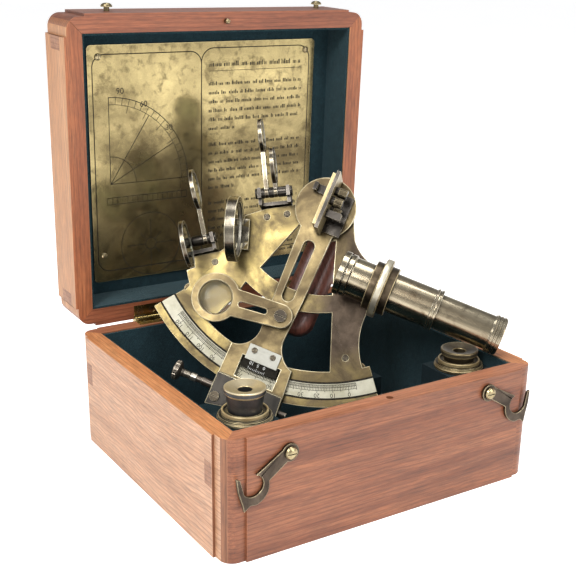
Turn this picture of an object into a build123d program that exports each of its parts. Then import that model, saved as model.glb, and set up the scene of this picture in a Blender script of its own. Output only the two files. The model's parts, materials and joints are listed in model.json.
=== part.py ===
from build123d import *

import os
from math import cos, hypot, radians, sin, sqrt

# A felt-lined hardwood case with a hinged lid and two hook latches, which holds a brass
# sextant propped up for show, two spare eyepieces and an engraved brass plate in the lid.
# Sizes are in millimetres. X runs along the front, Y from front to back and Z up.
# The origin is the middle of the underside of the case.

# ---------------------------------------------------------------- case dimensions
box_width = 240.0
box_depth = 217.0
base_height = 80.0
lid_height = 34.7
wall = 12.6
corner_width = 14.7
corner_step = 1.8
corner_radius = 9.0
rim_easing = 0.6
rim_gap = 0.5
lid_open_angle = 88.0
bottom_thickness = 6.5
top_thickness = 6.0
felt = 1.5
felt_below_rim = 1.0
fit = 0.05
clearance = 0.3

# dark end-grain keys let into the side boards next to each corner
key_width = 9.0
key_height = 16.0
key_depth = 3.0
key_from_end = 19.5
base_key_height = 53.5
lid_key_height = 17.0

# ---------------------------------------------------------------- hinge dimensions
hinge_length = 28.0
hinge_from_end = 44.8
hinge_offset = 1.0
leaf_width = 11.0
leaf_thickness = 1.2
knuckle_radius = 2.8
knuckle_gap = 0.2
hinge_pin_radius = 1.5
hinge_screw_radius = 1.2
hinge_screw_head = 2.3
hinge_screw_sink = 1.1
hinge_screw_length = 9.0
hinge_screw_spacing = 9.0
hinge_screw_inset = 6.4

# ---------------------------------------------------------------- latch dimensions
hook_thickness = 2.0
hook_head_radius = 5.7
hook_screw_radius = 2.0
screw_head_radius = 4.0
screw_head_height = 2.6
slot_width_share = 0.22
slot_depth_share = 0.42
latch_screw_depth = 8.0
hook_screw_play = 0.2
stud_radius = 1.95
left_hook_from_side = 42.7
left_hook_below_rim = 14.7
right_hook_from_side = 44.3
right_hook_below_rim = 10.2
right_hook_tilt = 4.5
left_hook_x = left_hook_from_side - box_width / 2
left_hook_z = base_height - left_hook_below_rim
right_hook_x = box_width / 2 - right_hook_from_side
right_hook_z = base_height - right_hook_below_rim
left_stud_offset = -5.2
right_stud_offset = 12.8
hook_seat_x = 29.6
hook_seat_z = 14.5
dowel_radius = 1.7
dowel_length = 3.6

# ---------------------------------------------------------------- lid plate dimensions
plaque_side_margin = 12.4
plaque_end_margin = 8.9
plaque_thickness = 1.2
plaque_corner = 3.0
plaque_x = -1.0
plaque_width = box_width - 2 * (wall + felt + plaque_side_margin)
plaque_height = box_depth - 2 * (wall + felt + plaque_end_margin)
plaque_pin_inset = 8.0
plaque_low_pin_rise = 20.0
plaque_pin_radius = 1.0
plaque_pin_head = 2.4
plaque_pin_head_height = 1.3
plaque_pin_length = 3.5

# ---------------------------------------------------------------- spare eyepieces
post_width = 35.0
left_post_depth = 35.0
left_post_below_rim = 4.0
left_post_height = base_height - left_post_below_rim
right_post_depth = 47.0
right_post_below_rim = 10.0
right_post_height = base_height - right_post_below_rim
left_eyepiece_from_corner = 17.4
right_eyepiece_from_corner = 29.4
eyepiece_flange_radius = 16.8
eyepiece_flange_height = 4.0
eyepiece_seat_radius = 13.4
eyepiece_seat_height = 1.6
eyepiece_neck_radius = 10.4
eyepiece_top_radius = 12.7
eyepiece_top_height = 4.0
eyepiece_dish = 1.8
eyepiece_hole_radius = 4.4
left_neck_height = 11.4
right_neck_height = 4.4

# ---------------------------------------------------------------- sextant placing
# The sextant's own frame has its origin where the index arm's axis meets the front face
# of the limb plate, Y up the instrument and Z out of the plate towards its user.
sextant_right_of_middle = 45.3
sextant_before_back = 70.2
sextant_above_rim = 85.1
sextant_origin = (
    sextant_right_of_middle,
    box_depth / 2 - sextant_before_back,
    base_height + sextant_above_rim,
)
sextant_azimuth = -38.5
sextant_lean = 24.5
sextant_roll = -19.6

# ---------------------------------------------------------------- sextant dimensions
frame_thickness = 4.0
limb_outer = 142.2
limb_inner = 116.9
limb_root = limb_inner + 4.0
left_spoke = (-127.3, -114.0)
right_spoke = (-66.1, -54.4)
scale_outer = 136.2
scale_inner = 124.9
scale_thickness = 0.6
scale_rise = 0.1
limb_start = -128.3
limb_end = -52.0
head_radius = 21.0
arm_gap = 0.5
arm_thickness = 4.0
arm_head_radius = 22.0
arm_slot_half = 4.2
arm_slot_top = -26.0
arm_slot_bottom = -72.5
axle_radius = 4.0
axle_nut_radius = 7.0
axle_nut_height = 4.5
vernier_inner = scale_inner - 5.0
vernier_depth = 7.6
vernier_start = 264.0
vernier_end = 276.6
window_left = -13.9
window_right = 15.4
window_margin = 0.9
window_below_vernier = 7.5
arm_below_window = 2.0
vernier_outer = vernier_inner + vernier_depth
window_top = window_margin - vernier_inner
window_bottom = -vernier_outer - window_below_vernier
arm_end = window_bottom - arm_below_window
arm_neck_length = 38.0
arm_shoulder_length = 22.6
arm_neck = arm_end + arm_neck_length
arm_shoulder = arm_end + arm_shoulder_length
arm_neck_half = 9.3
vernier_plate_height = 11.4
vernier_plate_overlap = 1.9
vernier_plate_thickness = 1.1
vernier_screw_x = 7.0
vernier_screw_y = window_top - vernier_plate_overlap + 7.5
clamp_left_x = -25.4
clamp_right_x = 25.4
clamp_left_length = 24.2
clamp_right_length = 14.4
clamp_left_y = arm_end - clamp_left_length
clamp_right_y = arm_end - clamp_right_length
clamp_top = 8.0
clamp_bottom = -7.0
tangent_y = arm_end - 10.6
tangent_h = 3.0
tangent_rod_radius = 2.0
tangent_knob_radius = 7.0
tangent_knob_thickness = 4.4
tangent_knob_x = -55.5
tangent_neck_start = tangent_knob_x + 11.5
tangent_neck_end = clamp_left_x - 8.6
tangent_sleeve_radius = 3.0
tangent_end_x = 31.0
clamp_screw_place = (-20.5, arm_end - 17.0)
small_screw_radius = 1.1
small_screw_head = 2.2
small_screw_head_height = 1.2
small_screw_slot_half = 0.3
small_screw_slot_depth = 0.5
frame_screw_rise = 0.2
clamp_screw_head = 3.4

magnifier_x = -46.6
magnifier_y = -89.3
magnifier_radius = 17.5
magnifier_lens_radius = 12.2
magnifier_bottom = 9.8
magnifier_thickness = 3.2
magnifier_pivot_x = 1.4
magnifier_pivot_y = -84.3
magnifier_arm_half = 8.6
magnifier_slot_half = 1.9
magnifier_pivot_radius = 2.2

horizon_x = -51.0
horizon_y = -41.0
optic_height = 24.0
horizon_turn = 19.4
horizon_radius = 22.7
horizon_glass_radius = 19.0
horizon_thickness = 7.0
horizon_glass_thickness = 3.0
horizon_foot_half = 11.0
horizon_foot_depth = 8.0

telescope_y = -41.0
telescope_front = 29.0
telescope_rim_radius = 15.4
telescope_rim_length = 4.0
telescope_radius = 13.8
telescope_end = 101.0
telescope_step_radius = 14.6
telescope_step_length = 4.5
draw_radius = 12.1
draw_bore = 10.6
draw_start = 78.0
draw_end = 139.0
eyecap_radius = 12.9
eyecap_length = 8.5
eyecap_hole_radius = 4.5
objective_radius = 12.2
objective_x = 33.0
collar_x = 59.5
collar_radius = 20.6
collar_width = 5.0
collar_hub_radius = 17.0
collar_hub_length = 16.0

shade_thickness = 3.0
shade_hub_radius = 3.6
shade_arm_half = 2.6
shade_pin_radius = 1.6
shade_glass_thickness = 2.0
index_shade_pivot = (-37.9, -4.3, 10.0)
index_shade_turn = 27.7
index_long_reach = 41.0
index_long_angle = 5.6
index_long_along = -5.0
index_long_radius = 12.3
index_short_reach = 19.0
index_short_angle = 8.0
index_short_along = 1.5
index_short_radius = 13.3
horizon_shade_pivot = (-69.3, -52.9, 9.0)
horizon_shade_turn = 33.9
horizon_upper_reach = 36.0
horizon_upper_angle = 8.0
horizon_upper_along = -1.3
horizon_upper_radius = 14.5
horizon_lower_reach = 21.0
horizon_lower_angle = 104.0
horizon_lower_along = -12.3
horizon_lower_radius = 16.5
shade_rim = 2.4
bracket_plate = 2.4
bracket_edge_distance = 7.9
bracket_foot_length = 13.0
bracket_upright_height = 4.0
index_bracket_span = (-11.5, 11.5)
horizon_bracket_span = (-18.0, 5.0)

mirror_plate_thickness = 2.5
mirror_glass_thickness = 2.6
mirror_bottom = -20.0
mirror_top = 22.0
mirror_height = 34.0
mirror_face_x = 1.5
mirror_base_thickness = 2.4
mirror_adjusters = ((10.5, 26.0), (-2.0, 15.0), (2.5, 30.0))
mirror_adjuster_radius = 3.1
mirror_adjuster_length = 9.0
mirror_lug_low = (-9.0, 17.5)
mirror_lug_high = (15.5, -4.0, 26.5)

leg_places = ((-70.0, -90.0), (66.0, -96.0), (0.0, 12.0))
leg_length = 34.5
leg_radius = 4.0
leg_tip_radius = 3.0
handle_x = 8.0
handle_top = -8.0
handle_bottom = -92.0
handle_width = 27.0
handle_depth = 24.0
handle_standoff = 8.5
handle_easing = 6.0
handle_post_radius = 3.6
handle_post_places = (-18.0, -69.0)
cradle_size = 22.0

# ---------------------------------------------------------------- placing planes
hinge_y = box_depth / 2 + hinge_offset
hinge_z = base_height + rim_gap / 2
half_gap = rim_gap / 2
inner_half_width = box_width / 2 - wall
inner_half_depth = box_depth / 2 - wall
lid_middle_y = -hinge_offset - box_depth / 2

base_hinge_frame = Plane(origin=(0, hinge_y, hinge_z), x_dir=(1, 0, 0), z_dir=(0, 0, 1))
lid_frame = Plane(
    origin=(0, hinge_y, hinge_z),
    x_dir=(1, 0, 0),
    z_dir=(0, sin(radians(lid_open_angle)), cos(radians(lid_open_angle))),
)

azimuth = radians(sextant_azimuth)
lean = radians(sextant_lean)
roll = radians(sextant_roll)
level_x = Vector(cos(azimuth), sin(azimuth), 0)
level_y = Vector(-sin(lean) * sin(azimuth), sin(lean) * cos(azimuth), cos(lean))
sextant_x = level_x * cos(roll) + level_y * sin(roll)
sextant_z = Vector(sin(azimuth) * cos(lean), -cos(azimuth) * cos(lean), sin(lean))
sextant_frame_plane = Plane(origin=sextant_origin, x_dir=sextant_x, z_dir=sextant_z)


def in_frame(frame, origin, x_dir=(1, 0, 0), z_dir=(0, 0, 1)):
    """Plane whose origin and directions are given inside another frame."""
    turned_x, turned_z = [
        frame.x_dir * way[0] + frame.y_dir * way[1] + frame.z_dir * way[2]
        for way in (x_dir, z_dir)
    ]
    return Plane(origin=frame.from_local_coords(origin), x_dir=turned_x, z_dir=turned_z)


def on_lid(origin, x_dir=(1, 0, 0), z_dir=(0, 0, 1)):
    """Plane inside the lid's frame: X along the hinge, -Y to the front rim, Z off the rim."""
    return in_frame(lid_frame, origin, x_dir, z_dir)


def on_sextant(origin, x_dir=(1, 0, 0), z_dir=(0, 0, 1)):
    """Plane inside the sextant's frame."""
    return in_frame(sextant_frame_plane, origin, x_dir, z_dir)


# ---------------------------------------------------------------- shared shapes
def block(frame, low, high, mode=Mode.ADD):
    """Add or cut a rectangular block between two corners given inside a frame."""
    middle = ((low[0] + high[0]) / 2, (low[1] + high[1]) / 2, low[2])
    with BuildSketch(in_frame(frame, middle)) as section:
        Rectangle(high[0] - low[0], high[1] - low[1])
    extrude(section.sketch, amount=high[2] - low[2], mode=mode)


def rod(plane, radius, length, mode=Mode.ADD):
    """Add or cut a round bar that stands on a plane."""
    with BuildSketch(plane) as section:
        Circle(radius)
    extrude(section.sketch, amount=length, mode=mode)


def turn(profile, plane, mode=Mode.ADD):
    """Revolve a (radius, height) profile about the plane's Y axis."""
    with BuildSketch(plane) as section:
        with BuildLine():
            Polyline(*profile, close=True)
        make_face()
    revolve(section.sketch, axis=Axis(plane.origin, plane.y_dir), mode=mode)


def turning_plane(frame, origin, axis):
    """Plane for turn(): its Y runs along the axis, its X points out from it."""
    along = Vector(*axis).normalized()
    helper = Vector(0, 0, 1) if abs(along.Z) < 0.9 else Vector(1, 0, 0)
    outward = helper.cross(along).normalized()
    normal = outward.cross(along)
    return in_frame(frame, origin, tuple(outward), tuple(normal))


def outline(points):
    """Add a straight-sided face to the active sketch."""
    with BuildLine() as edge:
        Polyline(*points, close=True)
    make_face(edge.line.edges())


def arc_band(inner, outer, start, end):
    """Add a ring segment about the sketch's origin to the active sketch."""
    with BuildLine() as edge:
        far = CenterArc((0, 0), outer, start, end - start)
        near = CenterArc((0, 0), inner, start, end - start)
        Line(far @ 0, near @ 0)
        Line(far @ 1, near @ 1)
    make_face(edge.line.edges())


def round_head_screw(frame, head_seat, axis, shank_radius, length, head_radius, head_height):
    """Slotted round-head screw whose head sits on head_seat and whose shank runs against axis."""
    plane = turning_plane(frame, head_seat, axis)
    dome = (head_radius * 0.86, head_height * 0.62), (head_radius * 0.5, head_height * 0.93)
    profile = [(0, -length), (shank_radius, -length), (shank_radius, 0), (head_radius, 0),
               (head_radius, head_height * 0.25), *dome, (0, head_height)]
    turn(profile, plane)
    slot_plane = Plane(origin=plane.origin, x_dir=plane.x_dir, z_dir=plane.y_dir)
    half_slot = head_radius * slot_width_share / 2
    block(slot_plane, (-head_radius, -half_slot, head_height * (1 - slot_depth_share)),
          (head_radius, half_slot, head_height + 1), Mode.SUBTRACT)


def small_screw(frame, seat, depth):
    """Small slotted screw on the sextant's front, with its shank going down by depth."""
    plane = in_frame(frame, seat)
    rod(plane.offset(-depth), small_screw_radius, depth)
    with BuildSketch(plane) as head:
        Circle(small_screw_head)
    extrude(head.sketch, amount=small_screw_head_height, taper=18)
    slot_floor = small_screw_head_height - small_screw_slot_depth
    block(plane, (-small_screw_head, -small_screw_slot_half, slot_floor),
          (small_screw_head, small_screw_slot_half, small_screw_head_height + 1), Mode.SUBTRACT)


# ---------------------------------------------------------------- case boards
def mitred_board(length, height, plane):
    """Raise one board of the case from its mitred section with the stepped, rounded corner."""
    step_x = length / 2 - corner_width
    round_x = length / 2 - corner_step - corner_radius
    with BuildSketch(plane) as section:
        with BuildLine():
            Polyline((0, 0), (step_x, 0), (step_x, corner_step), (round_x, corner_step))
            rounding = CenterArc((round_x, corner_step + corner_radius), corner_radius, -90, 45)
            Polyline(rounding @ 1, (length / 2 - wall, wall), (0, wall))
            mirror(about=Plane.YZ)
        make_face()
    extrude(section.sketch, amount=height)


def side_planes(frame, middle_y, level):
    """Outer-face planes of the front, back, left and right boards: X along, Y inwards."""
    half_width = box_width / 2
    half_depth = box_depth / 2
    return {
        "front": in_frame(frame, (0, middle_y - half_depth, level), (1, 0, 0)),
        "back": in_frame(frame, (0, middle_y + half_depth, level), (-1, 0, 0)),
        "left": in_frame(frame, (-half_width, middle_y, level), (0, -1, 0)),
        "right": in_frame(frame, (half_width, middle_y, level), (0, 1, 0)),
    }


def outer_rim(board, plane, height, length):
    """The long outer edges of a board that lie at a height above its plane."""
    straight = length - 2 * corner_width
    found = []
    for edge in board.edges():
        middle = plane.to_local_coords(edge.center())
        level = abs(middle.Z - height) < 0.01 and abs(middle.Y) < 0.01
        if level and abs(edge.length - straight) < 0.01:
            found.append(edge)
    return found


def key_block(plane, level, mode=Mode.ADD):
    """Add or cut the two end-grain keys of one side board, in the board's own plane."""
    for end in (-1, 1):
        x = end * (box_depth / 2 - key_from_end)
        block(plane, (x - key_width / 2, 0, level - key_height / 2),
              (x + key_width / 2, key_depth, level + key_height / 2), mode)


base_sides = side_planes(Plane.XY, 0, 0)
lid_sides = side_planes(lid_frame, lid_middle_y, half_gap)
hinge_starts = (-box_width / 2 + hinge_from_end, box_width / 2 - hinge_from_end - hinge_length)
hinge_screw_steps = (-hinge_screw_spacing, 0, hinge_screw_spacing)


# ---------------------------------------------------------------- hinges
def hinge_leaf(frame, start, up, own_knuckles):
    """One leaf with its share of the three knuckles; up is -1 for the base and 1 for the lid."""
    pitch = hinge_length / 3
    low = -half_gap - leaf_thickness if up < 0 else half_gap
    block(frame, (start, -leaf_width, low), (start + hinge_length, 0, low + leaf_thickness))
    for number in range(3):
        x = start + number * pitch
        plane = in_frame(frame, (x, 0, 0), (0, 1, 0), (1, 0, 0))
        if number in own_knuckles:
            first = plane.offset(knuckle_gap / 2)
            rod(first, knuckle_radius, pitch - knuckle_gap)
        else:
            rod(plane.offset(-knuckle_gap / 2), knuckle_radius + clearance,
                pitch + knuckle_gap, Mode.SUBTRACT)
    bore = in_frame(frame, (start - 1, 0, 0), (0, 1, 0), (1, 0, 0))
    rod(bore, hinge_pin_radius + fit, hinge_length + 2, Mode.SUBTRACT)


def countersink_profile(grow):
    """Half profile of a countersunk screw, grown all round for its hole."""
    head = hinge_screw_head + grow
    shank = hinge_screw_radius + grow
    return [(0, -hinge_screw_length - grow), (shank, -hinge_screw_length - grow),
            (shank, -hinge_screw_sink), (head, 0), (0, 0)]


def hinge_screw_planes(frame, start, up):
    """Turning planes of the three screws of a leaf: the head is flush with the leaf's face."""
    middle = start + hinge_length / 2
    return [turning_plane(frame, (middle + step, -hinge_screw_inset, up * half_gap), (0, 0, -up))
            for step in hinge_screw_steps]


def cut_hinge_seat(frame, up):
    """Cut the leaf seats, knuckle reliefs and screw holes of both hinges."""
    for start in hinge_starts:
        low = -half_gap - leaf_thickness if up < 0 else half_gap - fit
        high = -half_gap + fit if up < 0 else half_gap + leaf_thickness
        block(frame, (start - fit, -leaf_width - fit, low), (start + hinge_length + fit, 5, high),
              Mode.SUBTRACT)
        relief = in_frame(frame, (start - clearance, 0, 0), (0, 1, 0), (1, 0, 0))
        rod(relief, knuckle_radius + clearance, hinge_length + 2 * clearance, Mode.SUBTRACT)
        for plane in hinge_screw_planes(frame, start, up):
            turn(countersink_profile(fit), plane, Mode.SUBTRACT)


with BuildPart() as hinge_leaves_base:
    for start in hinge_starts:
        hinge_leaf(base_hinge_frame, start, -1, (0, 2))
        for plane in hinge_screw_planes(base_hinge_frame, start, -1):
            turn(countersink_profile(fit), plane, Mode.SUBTRACT)

with BuildPart() as hinge_leaves_lid:
    for start in hinge_starts:
        hinge_leaf(lid_frame, start, 1, (1,))
        for plane in hinge_screw_planes(lid_frame, start, 1):
            turn(countersink_profile(fit), plane, Mode.SUBTRACT)

with BuildPart() as hinge_screws_base:
    for start in hinge_starts:
        for plane in hinge_screw_planes(base_hinge_frame, start, -1):
            turn(countersink_profile(0), plane)

with BuildPart() as hinge_screws_lid:
    for start in hinge_starts:
        for plane in hinge_screw_planes(lid_frame, start, 1):
            turn(countersink_profile(0), plane)

with BuildPart() as hinge_pins:
    for start in hinge_starts:
        rod(in_frame(base_hinge_frame, (start, 0, 0), (0, 1, 0), (1, 0, 0)),
            hinge_pin_radius, hinge_length)


# ---------------------------------------------------------------- latches
latch_face = -box_depth / 2
hook_face = latch_face - clearance
seat_radius = hypot(hook_seat_x, hook_seat_z)
left_stud_rise = left_hook_z + sqrt(seat_radius**2 - left_stud_offset**2) - hinge_z
right_stud_rise = right_hook_z + sqrt(seat_radius**2 - right_stud_offset**2) - hinge_z
stud_places = (
    (left_hook_x + left_stud_offset, left_stud_rise),
    (right_hook_x + right_stud_offset, right_stud_rise),
)
hook_places = ((left_hook_x, left_hook_z), (right_hook_x, right_hook_z))


def hook_shape(pivot_x, pivot_z, side, tilt):
    """Flat hook hanging from its pivot; side is 1 where the throat lies to the left."""
    turned = radians(tilt)
    across = (side * cos(turned), 0, side * sin(turned))
    plane = Plane(origin=(pivot_x, hook_face, pivot_z), x_dir=across, z_dir=(0, -side, 0))
    with BuildSketch(plane) as section:
        with BuildLine():
            Line((-2.0, -5.2), (-14.3, -14.2))
            ThreePointArc((-14.3, -14.2), (-15.6, -22.2), (-23.0, -27.8))
            Line((-23.0, -27.8), (-27.2, -27.4))
            Line((-27.2, -27.4), (-31.0, -30.6))
            Line((-31.0, -30.6), (-32.0, -26.0))
            Line((-32.0, -26.0), (-34.8, -17.0))
            Line((-34.8, -17.0), (-36.0, -8.4))
            Line((-36.0, -8.4), (-33.8, -9.2))
            Line((-33.8, -9.2), (-31.2, -19.0))
            ThreePointArc((-31.2, -19.0), (-25.2, -21.9), (-18.8, -17.8))
            ThreePointArc((-18.8, -17.8), (-18.6, -12.6), (-22.9, -8.8))
            Line((-22.9, -8.8), (-4.4, 3.0))
            Line((-4.4, 3.0), (-2.0, -5.2))
        make_face()
        Circle(hook_head_radius)
        Circle(hook_screw_radius + fit, mode=Mode.SUBTRACT)
    extrude(section.sketch, amount=side * hook_thickness)


with BuildPart() as hook_left:
    hook_shape(left_hook_x, left_hook_z, 1, 0)

with BuildPart() as hook_right:
    hook_shape(right_hook_x, right_hook_z, -1, right_hook_tilt)

hook_standoff = clearance + hook_thickness + hook_screw_play
with BuildPart() as hook_screws:
    for x, z in hook_places:
        round_head_screw(Plane.XY, (x, latch_face - hook_standoff, z), (0, -1, 0),
                         hook_screw_radius, hook_standoff + latch_screw_depth,
                         screw_head_radius, screw_head_height)

lid_front_y = lid_middle_y - box_depth / 2
stud_standoff = hook_standoff + hook_screw_play
with BuildPart() as lid_studs:
    for x, rise in stud_places:
        round_head_screw(lid_frame, (x, lid_front_y - stud_standoff, rise), (0, -1, 0),
                         stud_radius, stud_standoff + latch_screw_depth, screw_head_radius,
                         screw_head_height)

dowel_y = lid_front_y + wall / 2
dowel_sink = 8.0
with BuildPart() as lid_dowel_pin:
    rod(on_lid((0, dowel_y, half_gap - dowel_length)), dowel_radius, dowel_length + dowel_sink)
    tip = lid_dowel_pin.edges().group_by(Axis(lid_frame.origin, lid_frame.z_dir))[0]
    chamfer(tip, length=0.6)


# ---------------------------------------------------------------- base of the case
def latch_hole(frame, x, face_y, z, radius):
    """Screw hole that goes into a front board from its outer face."""
    plane = in_frame(frame, (x, face_y - 1, z), (1, 0, 0), (0, 1, 0))
    rod(plane, radius + fit, latch_screw_depth + fit + 1, Mode.SUBTRACT)


with BuildPart() as base_front:
    mitred_board(box_width, base_height, base_sides["front"])
    fillet(outer_rim(base_front, base_sides["front"], base_height, box_width), radius=rim_easing)
    for x, z in hook_places:
        latch_hole(Plane.XY, x, latch_face, z, hook_screw_radius)
    dowel_socket = Plane(origin=(0, latch_face + wall / 2, base_height - dowel_length - 1))
    rod(dowel_socket, dowel_radius + 2 * clearance, dowel_length + 2, Mode.SUBTRACT)

with BuildPart() as base_back:
    mitred_board(box_width, base_height, base_sides["back"])
    cut_hinge_seat(base_hinge_frame, -1)

with BuildPart() as base_left:
    mitred_board(box_depth, base_height, base_sides["left"])
    fillet(outer_rim(base_left, base_sides["left"], base_height, box_depth), radius=rim_easing)
    key_block(base_sides["left"], base_key_height, Mode.SUBTRACT)

with BuildPart() as base_right:
    mitred_board(box_depth, base_height, base_sides["right"])
    fillet(outer_rim(base_right, base_sides["right"], base_height, box_depth), radius=rim_easing)
    key_block(base_sides["right"], base_key_height, Mode.SUBTRACT)

with BuildPart() as base_joint_keys:
    key_block(base_sides["left"], base_key_height)
    key_block(base_sides["right"], base_key_height)

with BuildPart() as base_bottom:
    block(Plane.XY, (-inner_half_width, -inner_half_depth, 0),
          (inner_half_width, inner_half_depth, bottom_thickness))


def felt_tray(frame, middle_y, floor, rim):
    """Felt lining of a floor and its four walls, open at the rim."""
    low, high = min(floor, rim), max(floor, rim)
    inner_low = low + felt if floor < rim else low - 1
    inner_high = high + 1 if floor < rim else high - felt
    block(frame, (-inner_half_width, middle_y - inner_half_depth, low),
          (inner_half_width, middle_y + inner_half_depth, high))
    block(frame, (-inner_half_width + felt, middle_y - inner_half_depth + felt, inner_low),
          (inner_half_width - felt, middle_y + inner_half_depth - felt, inner_high),
          Mode.SUBTRACT)


with BuildPart() as base_lining:
    felt_tray(Plane.XY, 0, bottom_thickness, base_height - felt_below_rim)

felt_floor = bottom_thickness + felt
post_corner_x = inner_half_width - felt
post_corner_y = -inner_half_depth + felt
post_x = post_corner_x - post_width / 2
with BuildPart() as eyepiece_posts:
    block(Plane.XY, (-post_corner_x, post_corner_y, felt_floor),
          (-post_corner_x + post_width, post_corner_y + left_post_depth, left_post_height))
    block(Plane.XY, (post_corner_x - post_width, post_corner_y, felt_floor),
          (post_corner_x, post_corner_y + right_post_depth, right_post_height))

# the cradle stands under the foot of the sextant's lower right leg
foot_x, foot_y = leg_places[1]
foot_tip = on_sextant((foot_x, foot_y, 1 - frame_thickness - leg_length)).origin
foot_drop = leg_tip_radius * sqrt(1 - sextant_z.Z**2)
cradle_top = foot_tip.Z - foot_drop - clearance
with BuildPart() as sextant_cradle:
    block(Plane.XY, (foot_tip.X - cradle_size / 2, foot_tip.Y - cradle_size / 2, felt_floor),
          (foot_tip.X + cradle_size / 2, foot_tip.Y + cradle_size / 2, cradle_top))


# ---------------------------------------------------------------- lid of the case
lid_inner = half_gap + lid_height - top_thickness
lid_felt = lid_inner - felt
plaque_front = lid_felt - plaque_thickness

with BuildPart() as lid_front:
    mitred_board(box_width, lid_height, lid_sides["front"])
    for x, rise in stud_places:
        latch_hole(lid_frame, x, lid_front_y, rise, stud_radius)
    rod(on_lid((0, dowel_y, half_gap - 1)), dowel_radius + fit, dowel_sink + 1, Mode.SUBTRACT)

with BuildPart() as lid_back:
    mitred_board(box_width, lid_height, lid_sides["back"])
    cut_hinge_seat(lid_frame, 1)

with BuildPart() as lid_left:
    mitred_board(box_depth, lid_height, lid_sides["left"])
    key_block(lid_sides["left"], lid_key_height, Mode.SUBTRACT)

with BuildPart() as lid_right:
    mitred_board(box_depth, lid_height, lid_sides["right"])
    key_block(lid_sides["right"], lid_key_height, Mode.SUBTRACT)

with BuildPart() as lid_joint_keys:
    key_block(lid_sides["left"], lid_key_height)
    key_block(lid_sides["right"], lid_key_height)

plaque_y = lid_middle_y
low_pin_y = plaque_y + plaque_height / 2 - plaque_pin_inset
high_pin_y = plaque_y - plaque_height / 2 + plaque_pin_inset
pin_left_x = plaque_x - plaque_width / 2 + plaque_pin_inset
pin_right_x = plaque_x + plaque_width / 2 - plaque_pin_inset
plaque_pin_places = (
    (pin_left_x, high_pin_y),
    (pin_right_x, high_pin_y),
    (pin_left_x, low_pin_y - plaque_low_pin_rise + plaque_pin_inset),
    (pin_right_x, low_pin_y),
)


def cut_plaque_pin_holes():
    """Cut the holes of the plate's four round-head pins through the part in hand."""
    for x, y in plaque_pin_places:
        rod(on_lid((x, y, plaque_front - 1)), plaque_pin_radius + fit,
            plaque_thickness + plaque_pin_length + 1, Mode.SUBTRACT)


with BuildPart() as lid_top:
    block(lid_frame, (-inner_half_width, lid_middle_y - inner_half_depth, lid_inner),
          (inner_half_width, lid_middle_y + inner_half_depth, half_gap + lid_height))
    cut_plaque_pin_holes()

with BuildPart() as lid_lining:
    felt_tray(lid_frame, lid_middle_y, lid_inner, half_gap + felt_below_rim)
    cut_plaque_pin_holes()

with BuildPart() as plaque:
    with BuildSketch(on_lid((plaque_x, plaque_y, plaque_front))):
        RectangleRounded(plaque_width, plaque_height, plaque_corner)
    extrude(amount=plaque_thickness)
    cut_plaque_pin_holes()

with BuildPart() as plaque_screws:
    for x, y in plaque_pin_places:
        round_head_screw(lid_frame, (x, y, plaque_front), (0, 0, -1), plaque_pin_radius,
                         plaque_thickness + plaque_pin_length - 0.2, plaque_pin_head,
                         plaque_pin_head_height)


# ---------------------------------------------------------------- spare eyepieces
def eyepiece(x, y, level, neck_height):
    """Turned eyepiece: flange below, waisted neck and a dished top with a sight hole."""
    seat = level + eyepiece_flange_height
    neck = seat + eyepiece_seat_height
    flare = neck + neck_height
    top = flare + eyepiece_top_height
    waist = neck + neck_height * 0.3
    profile = [
        (eyepiece_hole_radius, level), (eyepiece_flange_radius - 0.8, level),
        (eyepiece_flange_radius, level + 0.8), (eyepiece_flange_radius, seat - 1.6),
        (eyepiece_flange_radius - 1.0, seat - 1.2), (eyepiece_flange_radius - 0.6, seat),
        (eyepiece_seat_radius + 0.4, seat - 0.6), (eyepiece_seat_radius, neck),
        (eyepiece_neck_radius, neck), (eyepiece_neck_radius, waist),
        (eyepiece_top_radius - 1.0, flare), (eyepiece_top_radius, flare + 0.6),
        (eyepiece_top_radius, top - 0.6), (eyepiece_top_radius - 0.7, top),
        (eyepiece_hole_radius, top - eyepiece_dish),
    ]
    turn(profile, turning_plane(Plane.XY, (x, y, 0), (0, 0, 1)))


with BuildPart() as spare_eyepiece_left:
    eyepiece(-post_x, post_corner_y + left_eyepiece_from_corner, left_post_height,
             left_neck_height)

with BuildPart() as spare_eyepiece_right:
    eyepiece(post_x, post_corner_y + right_eyepiece_from_corner, right_post_height,
             right_neck_height)


# ---------------------------------------------------------------- sextant frame
# the screws of the plate are sunk, so that the index arm passes over them
frame_screw_places = ((-37.3, -21.1), (-24.7, -13.7), (-59.5, -65.4), (54.0, -93.5))
frame_screw_seat = frame_screw_rise - small_screw_head_height


def limb_point(degrees):
    """Point on the limb's band, just outside its inner edge, for a spoke to end on."""
    angle = radians(degrees)
    return (limb_root * cos(angle), limb_root * sin(angle))


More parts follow.
